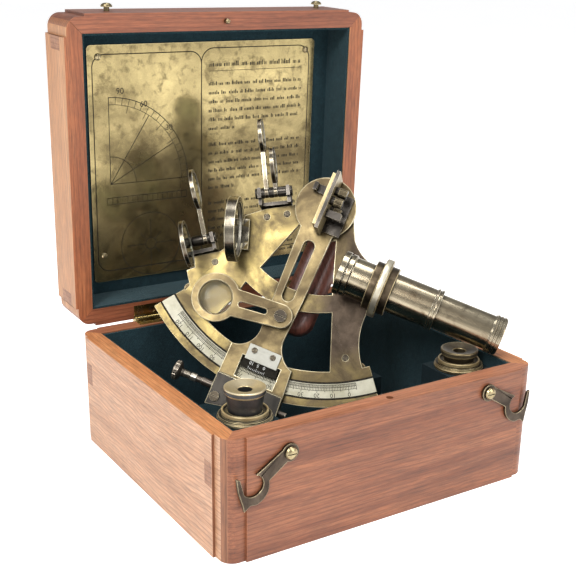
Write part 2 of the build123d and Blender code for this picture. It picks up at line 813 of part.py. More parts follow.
with BuildPart() as sextant_frame:
    with BuildSketch(on_sextant((0, 0, -frame_thickness))) as frame_plate:
        Circle(head_radius)
        arc_band(limb_inner, limb_outer, limb_start, limb_end)
        with BuildLine():
            Line((-8.0, 10.0), (-22.7, -5.7))
            Line((-22.7, -5.7), (-40.3, -15.8))
            Line((-40.3, -15.8), (-52.7, -26.1))
            ThreePointArc((-52.7, -26.1), (-53.0, -43.0), (-59.0, -56.5))
            Line((-59.0, -56.5), (-75.2, -67.4))
            Line((-75.2, -67.4), (-71.6, -74.6))
            Line((-71.6, -74.6), (-76.4, -78.8))
            Line((-76.4, -78.8), (-70.0, -88.0))
            Line((-70.0, -88.0), limb_point(left_spoke[0]))
            Line(limb_point(left_spoke[0]), limb_point(left_spoke[1]))
            ThreePointArc(limb_point(left_spoke[1]), (-39.5, -91.0), (-33.3, -70.0))
            ThreePointArc((-33.3, -70.0), (0.0, -76.5), (32.7, -67.2))
            Line((32.7, -67.2), limb_point(right_spoke[0]))
            Line(limb_point(right_spoke[0]), limb_point(right_spoke[1]))
            ThreePointArc(limb_point(right_spoke[1]), (59.3, -81.0), (55.7, -60.0))
            Line((55.7, -60.0), (50.5, -25.5))
            ThreePointArc((50.5, -25.5), (36.0, -20.5), (27.9, -13.0))
            Line((27.9, -13.0), (16.0, 12.0))
            Line((16.0, 12.0), (-8.0, 10.0))
        make_face()
        with BuildLine():
            Line((-13.5, -17.0), (-27.5, -56.7))
            ThreePointArc((-27.5, -56.7), (1.0, -62.4), (28.0, -55.6))
            Line((28.0, -55.6), (15.5, -18.0))
            ThreePointArc((15.5, -18.0), (1.0, -23.6), (-13.5, -17.0))
        make_face(mode=Mode.SUBTRACT)
    extrude(amount=frame_thickness)
    with BuildSketch(on_sextant((0, 0, -scale_thickness + scale_rise))) as scale_groove:
        arc_band(scale_inner, scale_outer, limb_start, limb_end)
    extrude(scale_groove.sketch, amount=frame_thickness, mode=Mode.SUBTRACT)
    rod(on_sextant((0, 0, -frame_thickness - 1)), axle_radius + fit, frame_thickness + 2,
        Mode.SUBTRACT)
    for x, y in frame_screw_places:
        rod(on_sextant((x, y, -frame_thickness - 1)), small_screw_radius + fit,
            frame_thickness + 2, Mode.SUBTRACT)
        rod(on_sextant((x, y, frame_screw_seat)), small_screw_head + fit,
            small_screw_head_height, Mode.SUBTRACT)

with BuildPart() as limb_scale:
    with BuildSketch(on_sextant((0, 0, -scale_thickness + scale_rise))) as scale_face:
        arc_band(scale_inner, scale_outer, limb_start, limb_end)
    extrude(scale_face.sketch, amount=scale_thickness)

with BuildPart() as frame_screws:
    for x, y in frame_screw_places:
        small_screw(sextant_frame_plane, (x, y, frame_screw_seat),
                    frame_thickness + frame_screw_seat)

with BuildPart() as frame_pillars:
    back = -frame_thickness
    for x, y in leg_places:
        turn([(0, 0), (leg_radius, 0), (leg_radius, 9), (leg_radius - 0.6, 10.5),
              (leg_tip_radius, leg_length - 1.4), (leg_tip_radius - 0.9, leg_length - 0.2),
              (0, leg_length)],
             turning_plane(sextant_frame_plane, (x, y, back), (0, 0, -1)))
    for y in handle_post_places:
        rod(on_sextant((handle_x, y, back), (1, 0, 0), (0, 0, -1)), handle_post_radius,
            handle_standoff)

with BuildPart() as handle:
    handle_middle = (handle_top + handle_bottom) / 2
    handle_face = -frame_thickness - handle_standoff
    with BuildSketch(on_sextant((handle_x, handle_middle, handle_face), (1, 0, 0), (0, 0, -1))):
        RectangleRounded(handle_width, handle_top - handle_bottom, handle_width / 2 - 1)
    extrude(amount=handle_depth)
    ends = handle.faces().sort_by(Axis(sextant_frame_plane.origin, sextant_z))
    fillet(ends[0].edges() + ends[-1].edges(), radius=handle_easing)


# ---------------------------------------------------------------- telescope
def tube_profile(points, mode=Mode.ADD):
    """Revolve (x, radius) points, given along the sextant's X, about the telescope's axis."""
    plane = on_sextant((0, telescope_y, optic_height))
    with BuildSketch(plane) as section:
        with BuildLine():
            Polyline(*points, close=True)
        make_face()
    revolve(section.sketch, axis=Axis(plane.origin, plane.x_dir), mode=mode)


rim_end = telescope_front + telescope_rim_length
step_start = telescope_end - telescope_step_length
bore = draw_radius + fit
with BuildPart() as telescope_tube:
    tube_profile([
        (telescope_front, objective_radius - 1.0), (telescope_front, telescope_rim_radius),
        (rim_end, telescope_rim_radius), (rim_end, telescope_radius + 0.2),
        (rim_end + 1.0, telescope_radius + 0.2), (rim_end + 1.0, telescope_rim_radius - 0.5),
        (rim_end + 4.2, telescope_rim_radius - 0.5), (rim_end + 5.0, telescope_radius),
        (step_start, telescope_radius), (step_start, telescope_step_radius),
        (step_start + 1.6, telescope_step_radius), (step_start + 1.6, telescope_radius + 0.3),
        (step_start + 2.8, telescope_radius + 0.3), (step_start + 2.8, telescope_step_radius),
        (telescope_end, telescope_step_radius), (telescope_end, bore),
        (objective_x - 1.4, bore), (objective_x - 1.4, objective_radius - 1.0),
    ])

with BuildPart() as objective_lens:
    tube_profile([
        (objective_x - 1.3, 0), (objective_x - 1.0, objective_radius * 0.6),
        (objective_x - 0.4, objective_radius - fit), (objective_x + 2.0, objective_radius - fit),
        (objective_x + 2.5, objective_radius * 0.6), (objective_x + 2.8, 0),
    ])

with BuildPart() as telescope_draw_tube:
    tube_profile([
        (draw_start, draw_bore), (draw_start, draw_radius), (draw_end, draw_radius),
        (draw_end, eyecap_radius - 0.4), (draw_end + 0.4, eyecap_radius),
        (draw_end + eyecap_length - 0.6, eyecap_radius),
        (draw_end + eyecap_length, eyecap_radius - 0.6),
        (draw_end + eyecap_length, draw_bore), (draw_end + eyecap_length - 2.0, draw_bore - 1.0),
        (draw_end + eyecap_length - 3.5, eyecap_hole_radius), (draw_end, eyecap_hole_radius),
        (draw_end, draw_bore),
    ])

hub_start = collar_x - collar_hub_length / 2
hub_end = collar_x + collar_hub_length / 2
collar_start = collar_x - collar_width / 2
collar_end = collar_x + collar_width / 2
lug_half = 13.0
with BuildPart() as telescope_collar:
    tube_profile([
        (hub_start, telescope_radius), (hub_start, collar_hub_radius),
        (collar_start, collar_hub_radius), (collar_start, collar_radius),
        (collar_end, collar_radius), (collar_end, collar_hub_radius),
        (hub_end, collar_hub_radius), (hub_end, telescope_radius),
    ])
    block(sextant_frame_plane, (hub_start - 2, telescope_y - lug_half, 0),
          (collar_start, telescope_y + lug_half, optic_height - telescope_radius + 2))
    tube_profile([(hub_start - 8, 0), (hub_start - 8, telescope_radius),
                  (hub_end + 8, telescope_radius), (hub_end + 8, 0)], Mode.SUBTRACT)


# ---------------------------------------------------------------- mirrors
turn_angle = radians(horizon_turn)
horizon_normal = (cos(turn_angle), sin(turn_angle), 0)
horizon_along = (-sin(turn_angle), cos(turn_angle), 0)
horizon_middle = (horizon_x, horizon_y, optic_height)
horizon_plane = on_sextant(horizon_middle, horizon_along, horizon_normal)
with BuildPart() as horizon_mirror_ring:
    with BuildSketch(horizon_plane.offset(-horizon_thickness / 2)) as ring_face:
        Circle(horizon_radius)
    extrude(ring_face.sketch, amount=horizon_thickness)
    block(horizon_plane, (-horizon_foot_half, -optic_height, -horizon_thickness / 2),
          (horizon_foot_half, -horizon_glass_radius + 1, horizon_foot_depth))
    with BuildSketch(horizon_plane.offset(-horizon_thickness / 2 - 1)) as ring_hole:
        Circle(horizon_glass_radius)
    extrude(ring_hole.sketch, amount=horizon_thickness / 2 + horizon_foot_depth + 2,
            mode=Mode.SUBTRACT)

with BuildPart() as horizon_mirror_glass:
    rod(horizon_plane.offset(-horizon_glass_thickness / 2), horizon_glass_radius,
        horizon_glass_thickness)

arm_top = arm_gap + arm_thickness
with BuildPart() as index_mirror_bracket:
    plate_back = mirror_face_x + mirror_plate_thickness
    base_top = arm_top + mirror_base_thickness
    block(sextant_frame_plane, (-1.0, mirror_bottom + 3, arm_top), (17.0, 13.0, base_top))
    block(sextant_frame_plane, (mirror_face_x, mirror_bottom, arm_top),
          (plate_back, mirror_top, mirror_height))
    block(sextant_frame_plane, (-13.0, 8.0, arm_top), (mirror_face_x, 14.0, base_top))
    block(sextant_frame_plane, (-13.0, 8.0, arm_top), (-10.4, 14.0, arm_top + 8.0))
    for y, height in mirror_adjusters:
        rod(on_sextant((plate_back, y, height - 4.0), (0, 1, 0), (1, 0, 0)),
            mirror_adjuster_radius, mirror_adjuster_length)
    block(sextant_frame_plane, (plate_back, *mirror_lug_low), mirror_lug_high)

with BuildPart() as index_mirror_glass:
    block(sextant_frame_plane,
          (mirror_face_x - mirror_glass_thickness, mirror_bottom + 2, base_top + 0.1),
          (mirror_face_x, mirror_top - 2, mirror_height - 1.5))


# ---------------------------------------------------------------- index arm
with BuildPart() as index_arm:
    with BuildSketch(on_sextant((0, 0, arm_gap))) as arm_face:
        Circle(arm_head_radius)
        with BuildLine():
            Line((-11.7, -14.0), (-10.1, -68.0))
            Line((-10.1, -68.0), (-arm_neck_half, arm_neck))
            ThreePointArc((-arm_neck_half, arm_neck), (-13.5, arm_end + 28.0),
                          (clamp_left_x + 0.7, arm_shoulder))
            Line((clamp_left_x + 0.7, arm_shoulder), (clamp_left_x, arm_end))
            Line((clamp_left_x, arm_end), (clamp_right_x - 1.0, arm_end))
            Line((clamp_right_x - 1.0, arm_end), (clamp_right_x - 2.6, arm_end + 20.0))
            ThreePointArc((clamp_right_x - 2.6, arm_end + 20.0), (13.0, arm_end + 27.0),
                          (arm_neck_half, arm_neck))
            Line((arm_neck_half, arm_neck), (11.3, -68.0))
            Line((11.3, -68.0), (12.7, -14.0))
            Line((12.7, -14.0), (-11.7, -14.0))
        make_face()
        slot_middle = (arm_slot_top + arm_slot_bottom) / 2
        with Locations((-0.5, slot_middle)):
            SlotOverall(arm_slot_top - arm_slot_bottom, 2 * arm_slot_half, rotation=90,
                        mode=Mode.SUBTRACT)
    extrude(arm_face.sketch, amount=arm_thickness)
    block(sextant_frame_plane, (window_left, window_bottom, arm_gap - 1),
          (window_right, window_top, arm_top + 1), Mode.SUBTRACT)
    rod(on_sextant((0, 0, arm_gap - 1)), axle_radius + fit, arm_thickness + 2, Mode.SUBTRACT)
    rod(on_sextant((magnifier_pivot_x, magnifier_pivot_y, arm_gap - 1)),
        magnifier_pivot_radius + fit, arm_thickness + 2, Mode.SUBTRACT)

with BuildPart() as index_axle:
    rod(on_sextant((0, 0, arm_top), (1, 0, 0), (0, 0, -1)), axle_radius,
        arm_thickness + arm_gap + frame_thickness + clearance + axle_nut_height + 1)
    with BuildSketch(on_sextant((0, 0, -frame_thickness - clearance), (1, 0, 0), (0, 0, -1))):
        RegularPolygon(axle_nut_radius, 6)
    extrude(amount=axle_nut_height)

with BuildPart() as vernier:
    plate_low = window_top - vernier_plate_overlap
    block(sextant_frame_plane, (-11.7, plate_low, arm_top),
          (12.5, plate_low + vernier_plate_height, arm_top + vernier_plate_thickness))
    with BuildSketch(on_sextant((0, 0, arm_gap + 0.1))) as vernier_band:
        arc_band(vernier_inner, vernier_outer, vernier_start, vernier_end)
    extrude(vernier_band.sketch, amount=arm_thickness - 0.1)
    for x in (-vernier_screw_x, vernier_screw_x):
        rod(on_sextant((x, vernier_screw_y, arm_top - 1)), small_screw_radius + fit, 4,
            Mode.SUBTRACT)

with BuildPart() as clamp_block:
    with BuildSketch(on_sextant((0, 0, arm_gap))) as clamp_plate:
        outline([(clamp_left_x, arm_end), (clamp_right_x - 1, arm_end),
                 (clamp_right_x, clamp_right_y), (clamp_left_x, clamp_left_y)])
    extrude(clamp_plate.sketch, amount=clamp_top - arm_gap)
    with BuildSketch(on_sextant((0, 0, clamp_bottom))) as clamp_jaw:
        outline([(clamp_left_x, arm_end), (clamp_right_x - 1, arm_end),
                 (clamp_right_x, clamp_right_y), (clamp_left_x, clamp_left_y)])
        Circle(limb_outer + arm_gap, mode=Mode.SUBTRACT)
    extrude(clamp_jaw.sketch, amount=arm_gap - clamp_bottom)
    tangent_bore = on_sextant((clamp_left_x - 1, tangent_y, tangent_h), (0, 1, 0), (1, 0, 0))
    rod(tangent_bore, tangent_rod_radius + fit, clamp_right_x - clamp_left_x + 2, Mode.SUBTRACT)

with BuildPart() as tangent_screw:
    turn([(0, tangent_knob_x), (tangent_knob_radius - 0.6, tangent_knob_x),
          (tangent_knob_radius, tangent_knob_x + 0.6),
          (tangent_knob_radius, tangent_knob_x + tangent_knob_thickness - 0.6),
          (tangent_knob_radius - 0.6, tangent_knob_x + tangent_knob_thickness),
          (tangent_sleeve_radius, tangent_knob_x + tangent_knob_thickness + 1.5),
          (tangent_rod_radius + 0.4, tangent_neck_start),
          (tangent_rod_radius + 0.4, tangent_neck_end),
          (tangent_sleeve_radius, tangent_neck_end + 0.6), (tangent_sleeve_radius, clamp_left_x - clearance),
          (tangent_rod_radius, clamp_left_x - clearance), (tangent_rod_radius, tangent_end_x),
          (0, tangent_end_x)],
         turning_plane(sextant_frame_plane, (0, tangent_y, tangent_h), (1, 0, 0)))

pivot_head = magnifier_bottom + magnifier_thickness + 0.2
with BuildPart() as index_arm_screws:
    for x in (-vernier_screw_x, vernier_screw_x):
        small_screw(sextant_frame_plane,
                    (x, vernier_screw_y, arm_top + vernier_plate_thickness),
                    vernier_plate_thickness)
    clamp_screw_plane = on_sextant((*clamp_screw_place, clamp_top))
    rod(clamp_screw_plane, clamp_screw_head, 2.0)
    block(clamp_screw_plane, (-4, -0.4, 1.2), (4, 0.4, 3), Mode.SUBTRACT)
    rod(on_sextant((magnifier_pivot_x, magnifier_pivot_y, arm_gap)), magnifier_pivot_radius,
        pivot_head - arm_gap)
    rod(on_sextant((magnifier_pivot_x, magnifier_pivot_y, arm_top)), magnifier_pivot_radius + 2.6,
        magnifier_bottom - clearance - arm_top)
    rod(on_sextant((magnifier_pivot_x, magnifier_pivot_y, pivot_head)),
        magnifier_pivot_radius + 2.2, 1.8)
    block(sextant_frame_plane,
          (magnifier_pivot_x - 6, magnifier_pivot_y - 0.5, pivot_head + 1.0),
          (magnifier_pivot_x + 6, magnifier_pivot_y + 0.5, pivot_head + 3), Mode.SUBTRACT)

reach_x = magnifier_x - magnifier_pivot_x
reach_y = magnifier_y - magnifier_pivot_y
magnifier_reach = hypot(reach_x, reach_y)
magnifier_direction = (reach_x / magnifier_reach, reach_y / magnifier_reach, 0)
magnifier_plane = on_sextant((magnifier_pivot_x, magnifier_pivot_y, magnifier_bottom),
                             magnifier_direction)
with BuildPart() as magnifier_arm:
    with BuildSketch(magnifier_plane) as magnifier_face:
        Circle(magnifier_arm_half)
        with Locations((magnifier_reach, 0)):
            Circle(magnifier_radius)
        outline([(0, -magnifier_arm_half), (magnifier_reach, -magnifier_arm_half - 2.0),
                 (magnifier_reach, magnifier_arm_half + 2.0), (0, magnifier_arm_half)])
        with Locations((magnifier_reach / 2 - 3.5, 0)):
            SlotOverall(21.0, 2 * magnifier_slot_half, mode=Mode.SUBTRACT)
        with Locations((magnifier_reach, 0)):
            Circle(magnifier_lens_radius, mode=Mode.SUBTRACT)
        Circle(magnifier_pivot_radius + fit, mode=Mode.SUBTRACT)
    extrude(magnifier_face.sketch, amount=magnifier_thickness)

with BuildPart() as magnifier_lens:
    lens_origin = (magnifier_x, magnifier_y, magnifier_bottom)
    edge_height = magnifier_thickness - 1.2
    turn([(0, -0.6), (magnifier_lens_radius * 0.7, 0.0), (magnifier_lens_radius, 0.7),
          (magnifier_lens_radius, edge_height), (magnifier_lens_radius * 0.7, edge_height + 1.0),
          (0, edge_height + 1.7)],
         turning_plane(sextant_frame_plane, lens_origin, (0, 0, 1)))


# ---------------------------------------------------------------- shades
def shade_directions(turn_degrees):
    """Pivot axis and the outward direction square to it, in the plane of the limb."""
    angle = radians(turn_degrees)
    return (cos(angle), sin(angle), 0), (-sin(angle), cos(angle), 0)


def shade_plane(pivot, turn_degrees, along, swing):
    """Plane of one shade: Z along the pivot axis, X from the pivot to the disc."""
    axis, outward = shade_directions(turn_degrees)
    up = radians(swing)
    direction = (outward[0] * cos(up), outward[1] * cos(up), sin(up))
    origin = (pivot[0] + axis[0] * along, pivot[1] + axis[1] * along, pivot[2])
    return on_sextant(origin, direction, axis).offset(-shade_thickness / 2)


def shade_ring(plane, reach, radius):
    """Ring of a shade with its arm and the hub that turns on the pivot pin."""
    with BuildSketch(plane) as section:
        Circle(shade_hub_radius)
        outline([(0, -shade_arm_half), (reach, -shade_arm_half), (reach, shade_arm_half),
                 (0, shade_arm_half)])
        with Locations((reach, 0)):
            Circle(radius)
            Circle(radius - shade_rim, mode=Mode.SUBTRACT)
        Circle(shade_pin_radius + fit, mode=Mode.SUBTRACT)
    extrude(section.sketch, amount=shade_thickness)


def shade_glass(plane, reach, radius):
    """Tinted disc of a shade, held in the middle of its ring's thickness."""
    inset = (shade_thickness - shade_glass_thickness) / 2
    with BuildSketch(plane.offset(inset)) as section:
        with Locations((reach, 0)):
            Circle(radius - shade_rim)
    extrude(section.sketch, amount=shade_glass_thickness)


index_long_plane = shade_plane(index_shade_pivot, index_shade_turn, index_long_along,
                               index_long_angle)
index_short_plane = shade_plane(index_shade_pivot, index_shade_turn, index_short_along,
                                index_short_angle)
horizon_upper_plane = shade_plane(horizon_shade_pivot, horizon_shade_turn, horizon_upper_along,
                                  horizon_upper_angle)
horizon_lower_plane = shade_plane(horizon_shade_pivot, horizon_shade_turn, horizon_lower_along,
                                  horizon_lower_angle)

with BuildPart() as index_shade_long:
    shade_ring(index_long_plane, index_long_reach, index_long_radius)

with BuildPart() as index_shade_long_glass:
    shade_glass(index_long_plane, index_long_reach, index_long_radius)

with BuildPart() as index_shade_short:
    shade_ring(index_short_plane, index_short_reach, index_short_radius)

with BuildPart() as index_shade_short_glass:
    shade_glass(index_short_plane, index_short_reach, index_short_radius)

with BuildPart() as horizon_shade_upper:
    shade_ring(horizon_upper_plane, horizon_upper_reach, horizon_upper_radius)

with BuildPart() as horizon_shade_upper_glass:
    shade_glass(horizon_upper_plane, horizon_upper_reach, horizon_upper_radius)

with BuildPart() as horizon_shade_lower:
    shade_ring(horizon_lower_plane, horizon_lower_reach, horizon_lower_radius)

with BuildPart() as horizon_shade_lower_glass:
    shade_glass(horizon_lower_plane, horizon_lower_reach, horizon_lower_radius)


def shade_bracket(pivot, turn_degrees, span):
    """L-shaped bracket under the frame plate's edge with two lugs that hold the pivot pin."""
    axis, outward = shade_directions(turn_degrees)
    frame = on_sextant((pivot[0], pivot[1], 0), axis)
    edge = -bracket_edge_distance
    low = -frame_thickness - bracket_plate
    block(frame, (span[0], edge - bracket_foot_length, low), (span[1], edge + bracket_plate,
                                                              -frame_thickness))
    block(frame, (span[0], edge, low), (span[1], edge + bracket_plate, bracket_upright_height))
    for start in (span[0], span[1] - bracket_plate):
        end = start + bracket_plate
        block(frame, (start, edge, low), (end, shade_hub_radius, pivot[2]))
        block(frame, (start, -shade_hub_radius, pivot[2]),
              (end, shade_hub_radius, pivot[2] + shade_hub_radius))
    pin_start = in_frame(frame, (span[0] - 1.2, 0, pivot[2]), (0, 1, 0), (1, 0, 0))
    rod(pin_start, shade_pin_radius, span[1] - span[0] + 2.4)


with BuildPart() as shade_brackets:
    shade_bracket(index_shade_pivot, index_shade_turn, index_bracket_span)
    shade_bracket(horizon_shade_pivot, horizon_shade_turn, horizon_bracket_span)


# ---------------------------------------------------------------- files
nodes = {
    "base_front": base_front,
    "base_back": base_back,
    "base_left": base_left,
    "base_right": base_right,
    "base_bottom": base_bottom,
    "base_lining": base_lining,
    "base_joint_keys": base_joint_keys,
    "hinge_leaves_base": hinge_leaves_base,
    "hinge_screws_base": hinge_screws_base,
    "hinge_pins": hinge_pins,
    "hook_screws": hook_screws,
    "eyepiece_posts": eyepiece_posts,
    "sextant_cradle": sextant_cradle,
    "lid_front": lid_front,
    "lid_back": lid_back,
    "lid_left": lid_left,
    "lid_right": lid_right,
    "lid_top": lid_top,
    "lid_lining": lid_lining,
    "lid_joint_keys": lid_joint_keys,
    "lid_dowel_pin": lid_dowel_pin,
    "hinge_leaves_lid": hinge_leaves_lid,
    "hinge_screws_lid": hinge_screws_lid,
    "lid_studs": lid_studs,
    "plaque": plaque,
    "plaque_screws": plaque_screws,
    "hook_left": hook_left,
    "hook_right": hook_right,
    "spare_eyepiece_left": spare_eyepiece_left,
    "spare_eyepiece_right": spare_eyepiece_right,
    "sextant_frame": sextant_frame,
    "limb_scale": limb_scale,
    "frame_pillars": frame_pillars,
    "handle": handle,
    "telescope_collar": telescope_collar,
    "telescope_tube": telescope_tube,
    "objective_lens": objective_lens,
    "horizon_mirror_ring": horizon_mirror_ring,
    "horizon_mirror_glass": horizon_mirror_glass,
    "shade_brackets": shade_brackets,
    "frame_screws": frame_screws,
    "telescope_draw_tube": telescope_draw_tube,
    "index_arm": index_arm,
    "index_axle": index_axle,
    "vernier": vernier,
    "index_arm_screws": index_arm_screws,
    "clamp_block": clamp_block,
    "index_mirror_bracket": index_mirror_bracket,
    "index_mirror_glass": index_mirror_glass,
    "tangent_screw": tangent_screw,
    "magnifier_arm": magnifier_arm,
    "magnifier_lens": magnifier_lens,
    "index_shade_long": index_shade_long,
    "index_shade_long_glass": index_shade_long_glass,
    "index_shade_short": index_shade_short,
    "index_shade_short_glass": index_shade_short_glass,
    "horizon_shade_upper": horizon_shade_upper,
    "horizon_shade_upper_glass": horizon_shade_upper_glass,
    "horizon_shade_lower": horizon_shade_lower,
    "horizon_shade_lower_glass": horizon_shade_lower_glass,
}

os.makedirs("parts", exist_ok=True)
for name, node in nodes.items():
    node.part.label = name
    export_step(node.part, f"parts/{name}.step")
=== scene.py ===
import bmesh
import bpy
import json
import math
import random
from mathutils import Matrix, Vector

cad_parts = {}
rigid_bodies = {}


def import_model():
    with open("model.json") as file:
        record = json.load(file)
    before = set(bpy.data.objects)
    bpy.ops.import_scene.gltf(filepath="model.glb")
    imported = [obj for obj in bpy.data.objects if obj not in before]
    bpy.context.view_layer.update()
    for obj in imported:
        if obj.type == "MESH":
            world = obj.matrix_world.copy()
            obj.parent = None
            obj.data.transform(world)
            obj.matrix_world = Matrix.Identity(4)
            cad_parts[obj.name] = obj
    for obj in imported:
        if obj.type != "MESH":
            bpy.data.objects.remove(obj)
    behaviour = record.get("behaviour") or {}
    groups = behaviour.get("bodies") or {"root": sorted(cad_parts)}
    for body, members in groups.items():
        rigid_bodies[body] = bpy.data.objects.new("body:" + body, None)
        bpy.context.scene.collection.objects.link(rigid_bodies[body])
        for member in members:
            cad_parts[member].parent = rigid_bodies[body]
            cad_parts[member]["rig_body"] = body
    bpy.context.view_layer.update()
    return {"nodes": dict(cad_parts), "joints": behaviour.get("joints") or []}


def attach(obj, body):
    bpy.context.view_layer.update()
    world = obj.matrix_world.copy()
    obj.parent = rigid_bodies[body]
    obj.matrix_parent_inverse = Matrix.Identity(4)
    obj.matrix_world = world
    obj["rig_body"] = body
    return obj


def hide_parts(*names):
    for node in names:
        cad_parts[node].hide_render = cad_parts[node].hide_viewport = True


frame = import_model()
nodes = frame["nodes"]
MM = 0.001


# ---------- places read from the frame
def unit(values):
    """A direction of length one."""
    return Vector(values).normalized()


def joint(name):
    """The frame's record of a joint."""
    return next(one for one in frame["joints"] if one["name"] == name)


hinge = joint("lid_hinge")
arm_pivot = joint("index_arm_pivot")
draw_slide = joint("telescope_draw")
lid_angle = math.radians(-hinge["range_deg"][0])

# The sextant's own frame: X along the telescope, Z along the index arm's axis.
sextant_z = unit(arm_pivot["axis"])
sextant_x = unit(draw_slide["axis"])
sextant_y = sextant_z.cross(sextant_x)
sextant_origin = Vector(arm_pivot["pos_m"])

# The lid's own frame: X along the hinge, Z off the lid's rim into the open lid.
lid_origin = Vector(hinge["pos_m"])
lid_x = Vector((1, 0, 0))
lid_z = Vector((0, math.sin(lid_angle), math.cos(lid_angle)))
lid_y = lid_z.cross(lid_x)


def frame_matrix(origin, x_dir, y_dir, z_dir):
    """Matrix that takes places in a frame to places in the scene."""
    matrix = Matrix((x_dir, y_dir, z_dir)).transposed().to_4x4()
    matrix.translation = origin
    return matrix


sextant_matrix = frame_matrix(sextant_origin, sextant_x, sextant_y, sextant_z)
lid_matrix = frame_matrix(lid_origin, lid_x, lid_y, lid_z)


def add_object(name, data):
    """A new object in the scene for a mesh, a lamp or a camera."""
    made = bpy.data.objects.new(name, data)
    bpy.context.scene.collection.objects.link(made)
    return made


# ---------- node materials
MIX_INPUTS = (0, 6, 7)  # a colour Mix node's sockets for its factor and its two colours
MIX_RESULT = 2  # and the output that gives the mixed colour


def fill(node, **values):
    """Set a node's sockets by name; an underscore in a name stands for a space."""
    for name, value in values.items():
        node.inputs[name.replace("_", " ")].default_value = value


def set_stops(ramp, stops):
    """Give a ramp node its (position, colour) stops, in order; a plain number gives a grey."""
    elements = ramp.color_ramp.elements
    while len(elements) < len(stops):
        elements.new(0.5)
    for element, (position, colour) in zip(elements, stops):
        element.position = position
        grey = isinstance(colour, (int, float))
        element.color = (colour, colour, colour, 1) if grey else (*colour, 1)


class Shader:
    """A node material that is built up one node at a time."""

    def __init__(self, name):
        self.material = bpy.data.materials.new(name)
        self.material.use_nodes = True
        self.tree = self.material.node_tree
        self.surface = self.tree.nodes["Principled BSDF"]
        self.place = self.add("ShaderNodeTexCoord").outputs["Object"]

    def add(self, kind, **settings):
        node = self.tree.nodes.new(kind)
        for key, value in settings.items():
            setattr(node, key, value)
        return node

    def join(self, source, target):
        self.tree.links.new(source, target)

    def feed(self, socket, value):
        """Join a node's output to a socket, or set the socket to a number, vector or colour."""
        if hasattr(value, "links"):
            self.join(value, socket)
        else:
            socket.default_value = (*value, 1) if socket.type == "RGBA" else value

    def stretch(self, scale, shift):
        """The object's coordinates, scaled so that a pattern runs along one way."""
        mapping = self.add("ShaderNodeMapping")
        fill(mapping, Scale=scale, Location=shift)
        self.join(self.place, mapping.inputs["Vector"])
        return mapping.outputs["Vector"]

    def noise(self, scale, detail=4.0, roughness=0.55, distortion=0.0, place=None):
        node = self.add("ShaderNodeTexNoise")
        fill(node, Scale=scale, Detail=detail, Roughness=roughness, Distortion=distortion)
        self.join(place or self.place, node.inputs["Vector"])
        return node.outputs["Fac"]

    def ramp(self, factor, *stops):
        node = self.add("ShaderNodeValToRGB")
        set_stops(node, stops)
        self.join(factor, node.inputs["Fac"])
        return node.outputs["Color"]

    def mix(self, factor, first, second, blend="MIX"):
        node = self.add("ShaderNodeMix", data_type="RGBA", blend_type=blend)
        for number, value in zip(MIX_INPUTS, (factor, first, second)):
            self.feed(node.inputs[number], value)
        return node.outputs[MIX_RESULT]

    def math(self, kind, first, second):
        node = self.add("ShaderNodeMath", operation=kind)
        self.feed(node.inputs[0], first)
        self.feed(node.inputs[1], second)
        return node.outputs[0]

    def vector(self, kind, first, second):
        """A number measured from two vectors."""
        node = self.add("ShaderNodeVectorMath", operation=kind)
        self.feed(node.inputs[0], first)
        self.feed(node.inputs[1], second)
        return node.outputs["Value"]

    def bump(self, height, strength, distance):
        node = self.add("ShaderNodeBump")
        fill(node, Strength=strength, Distance=distance)
        self.join(height, node.inputs["Height"])
        self.join(node.outputs["Normal"], self.surface.inputs["Normal"])

    def edge_mask(self, radius):
        """White where two faces meet within the radius, black on open faces."""
        bevel = self.add("ShaderNodeBevel", samples=4)
        fill(bevel, Radius=radius)
        geometry = self.add("ShaderNodeNewGeometry")
        same_way = self.vector("DOT_PRODUCT", bevel.outputs["Normal"],
                               geometry.outputs["Normal"])
        return self.ramp(same_way, (0.86, 1.0), (0.995, 0.0))

    def colour(self, source):
        self.join(source, self.surface.inputs["Base Color"])

    def gloss(self, source):
        self.join(source, self.surface.inputs["Roughness"])


CROSS_GRAIN = 13.0  # how many times finer the wood's pattern is across the grain
WOOD_EDGE = 0.0009  # reach in metres of the paler, handled edges of the wood


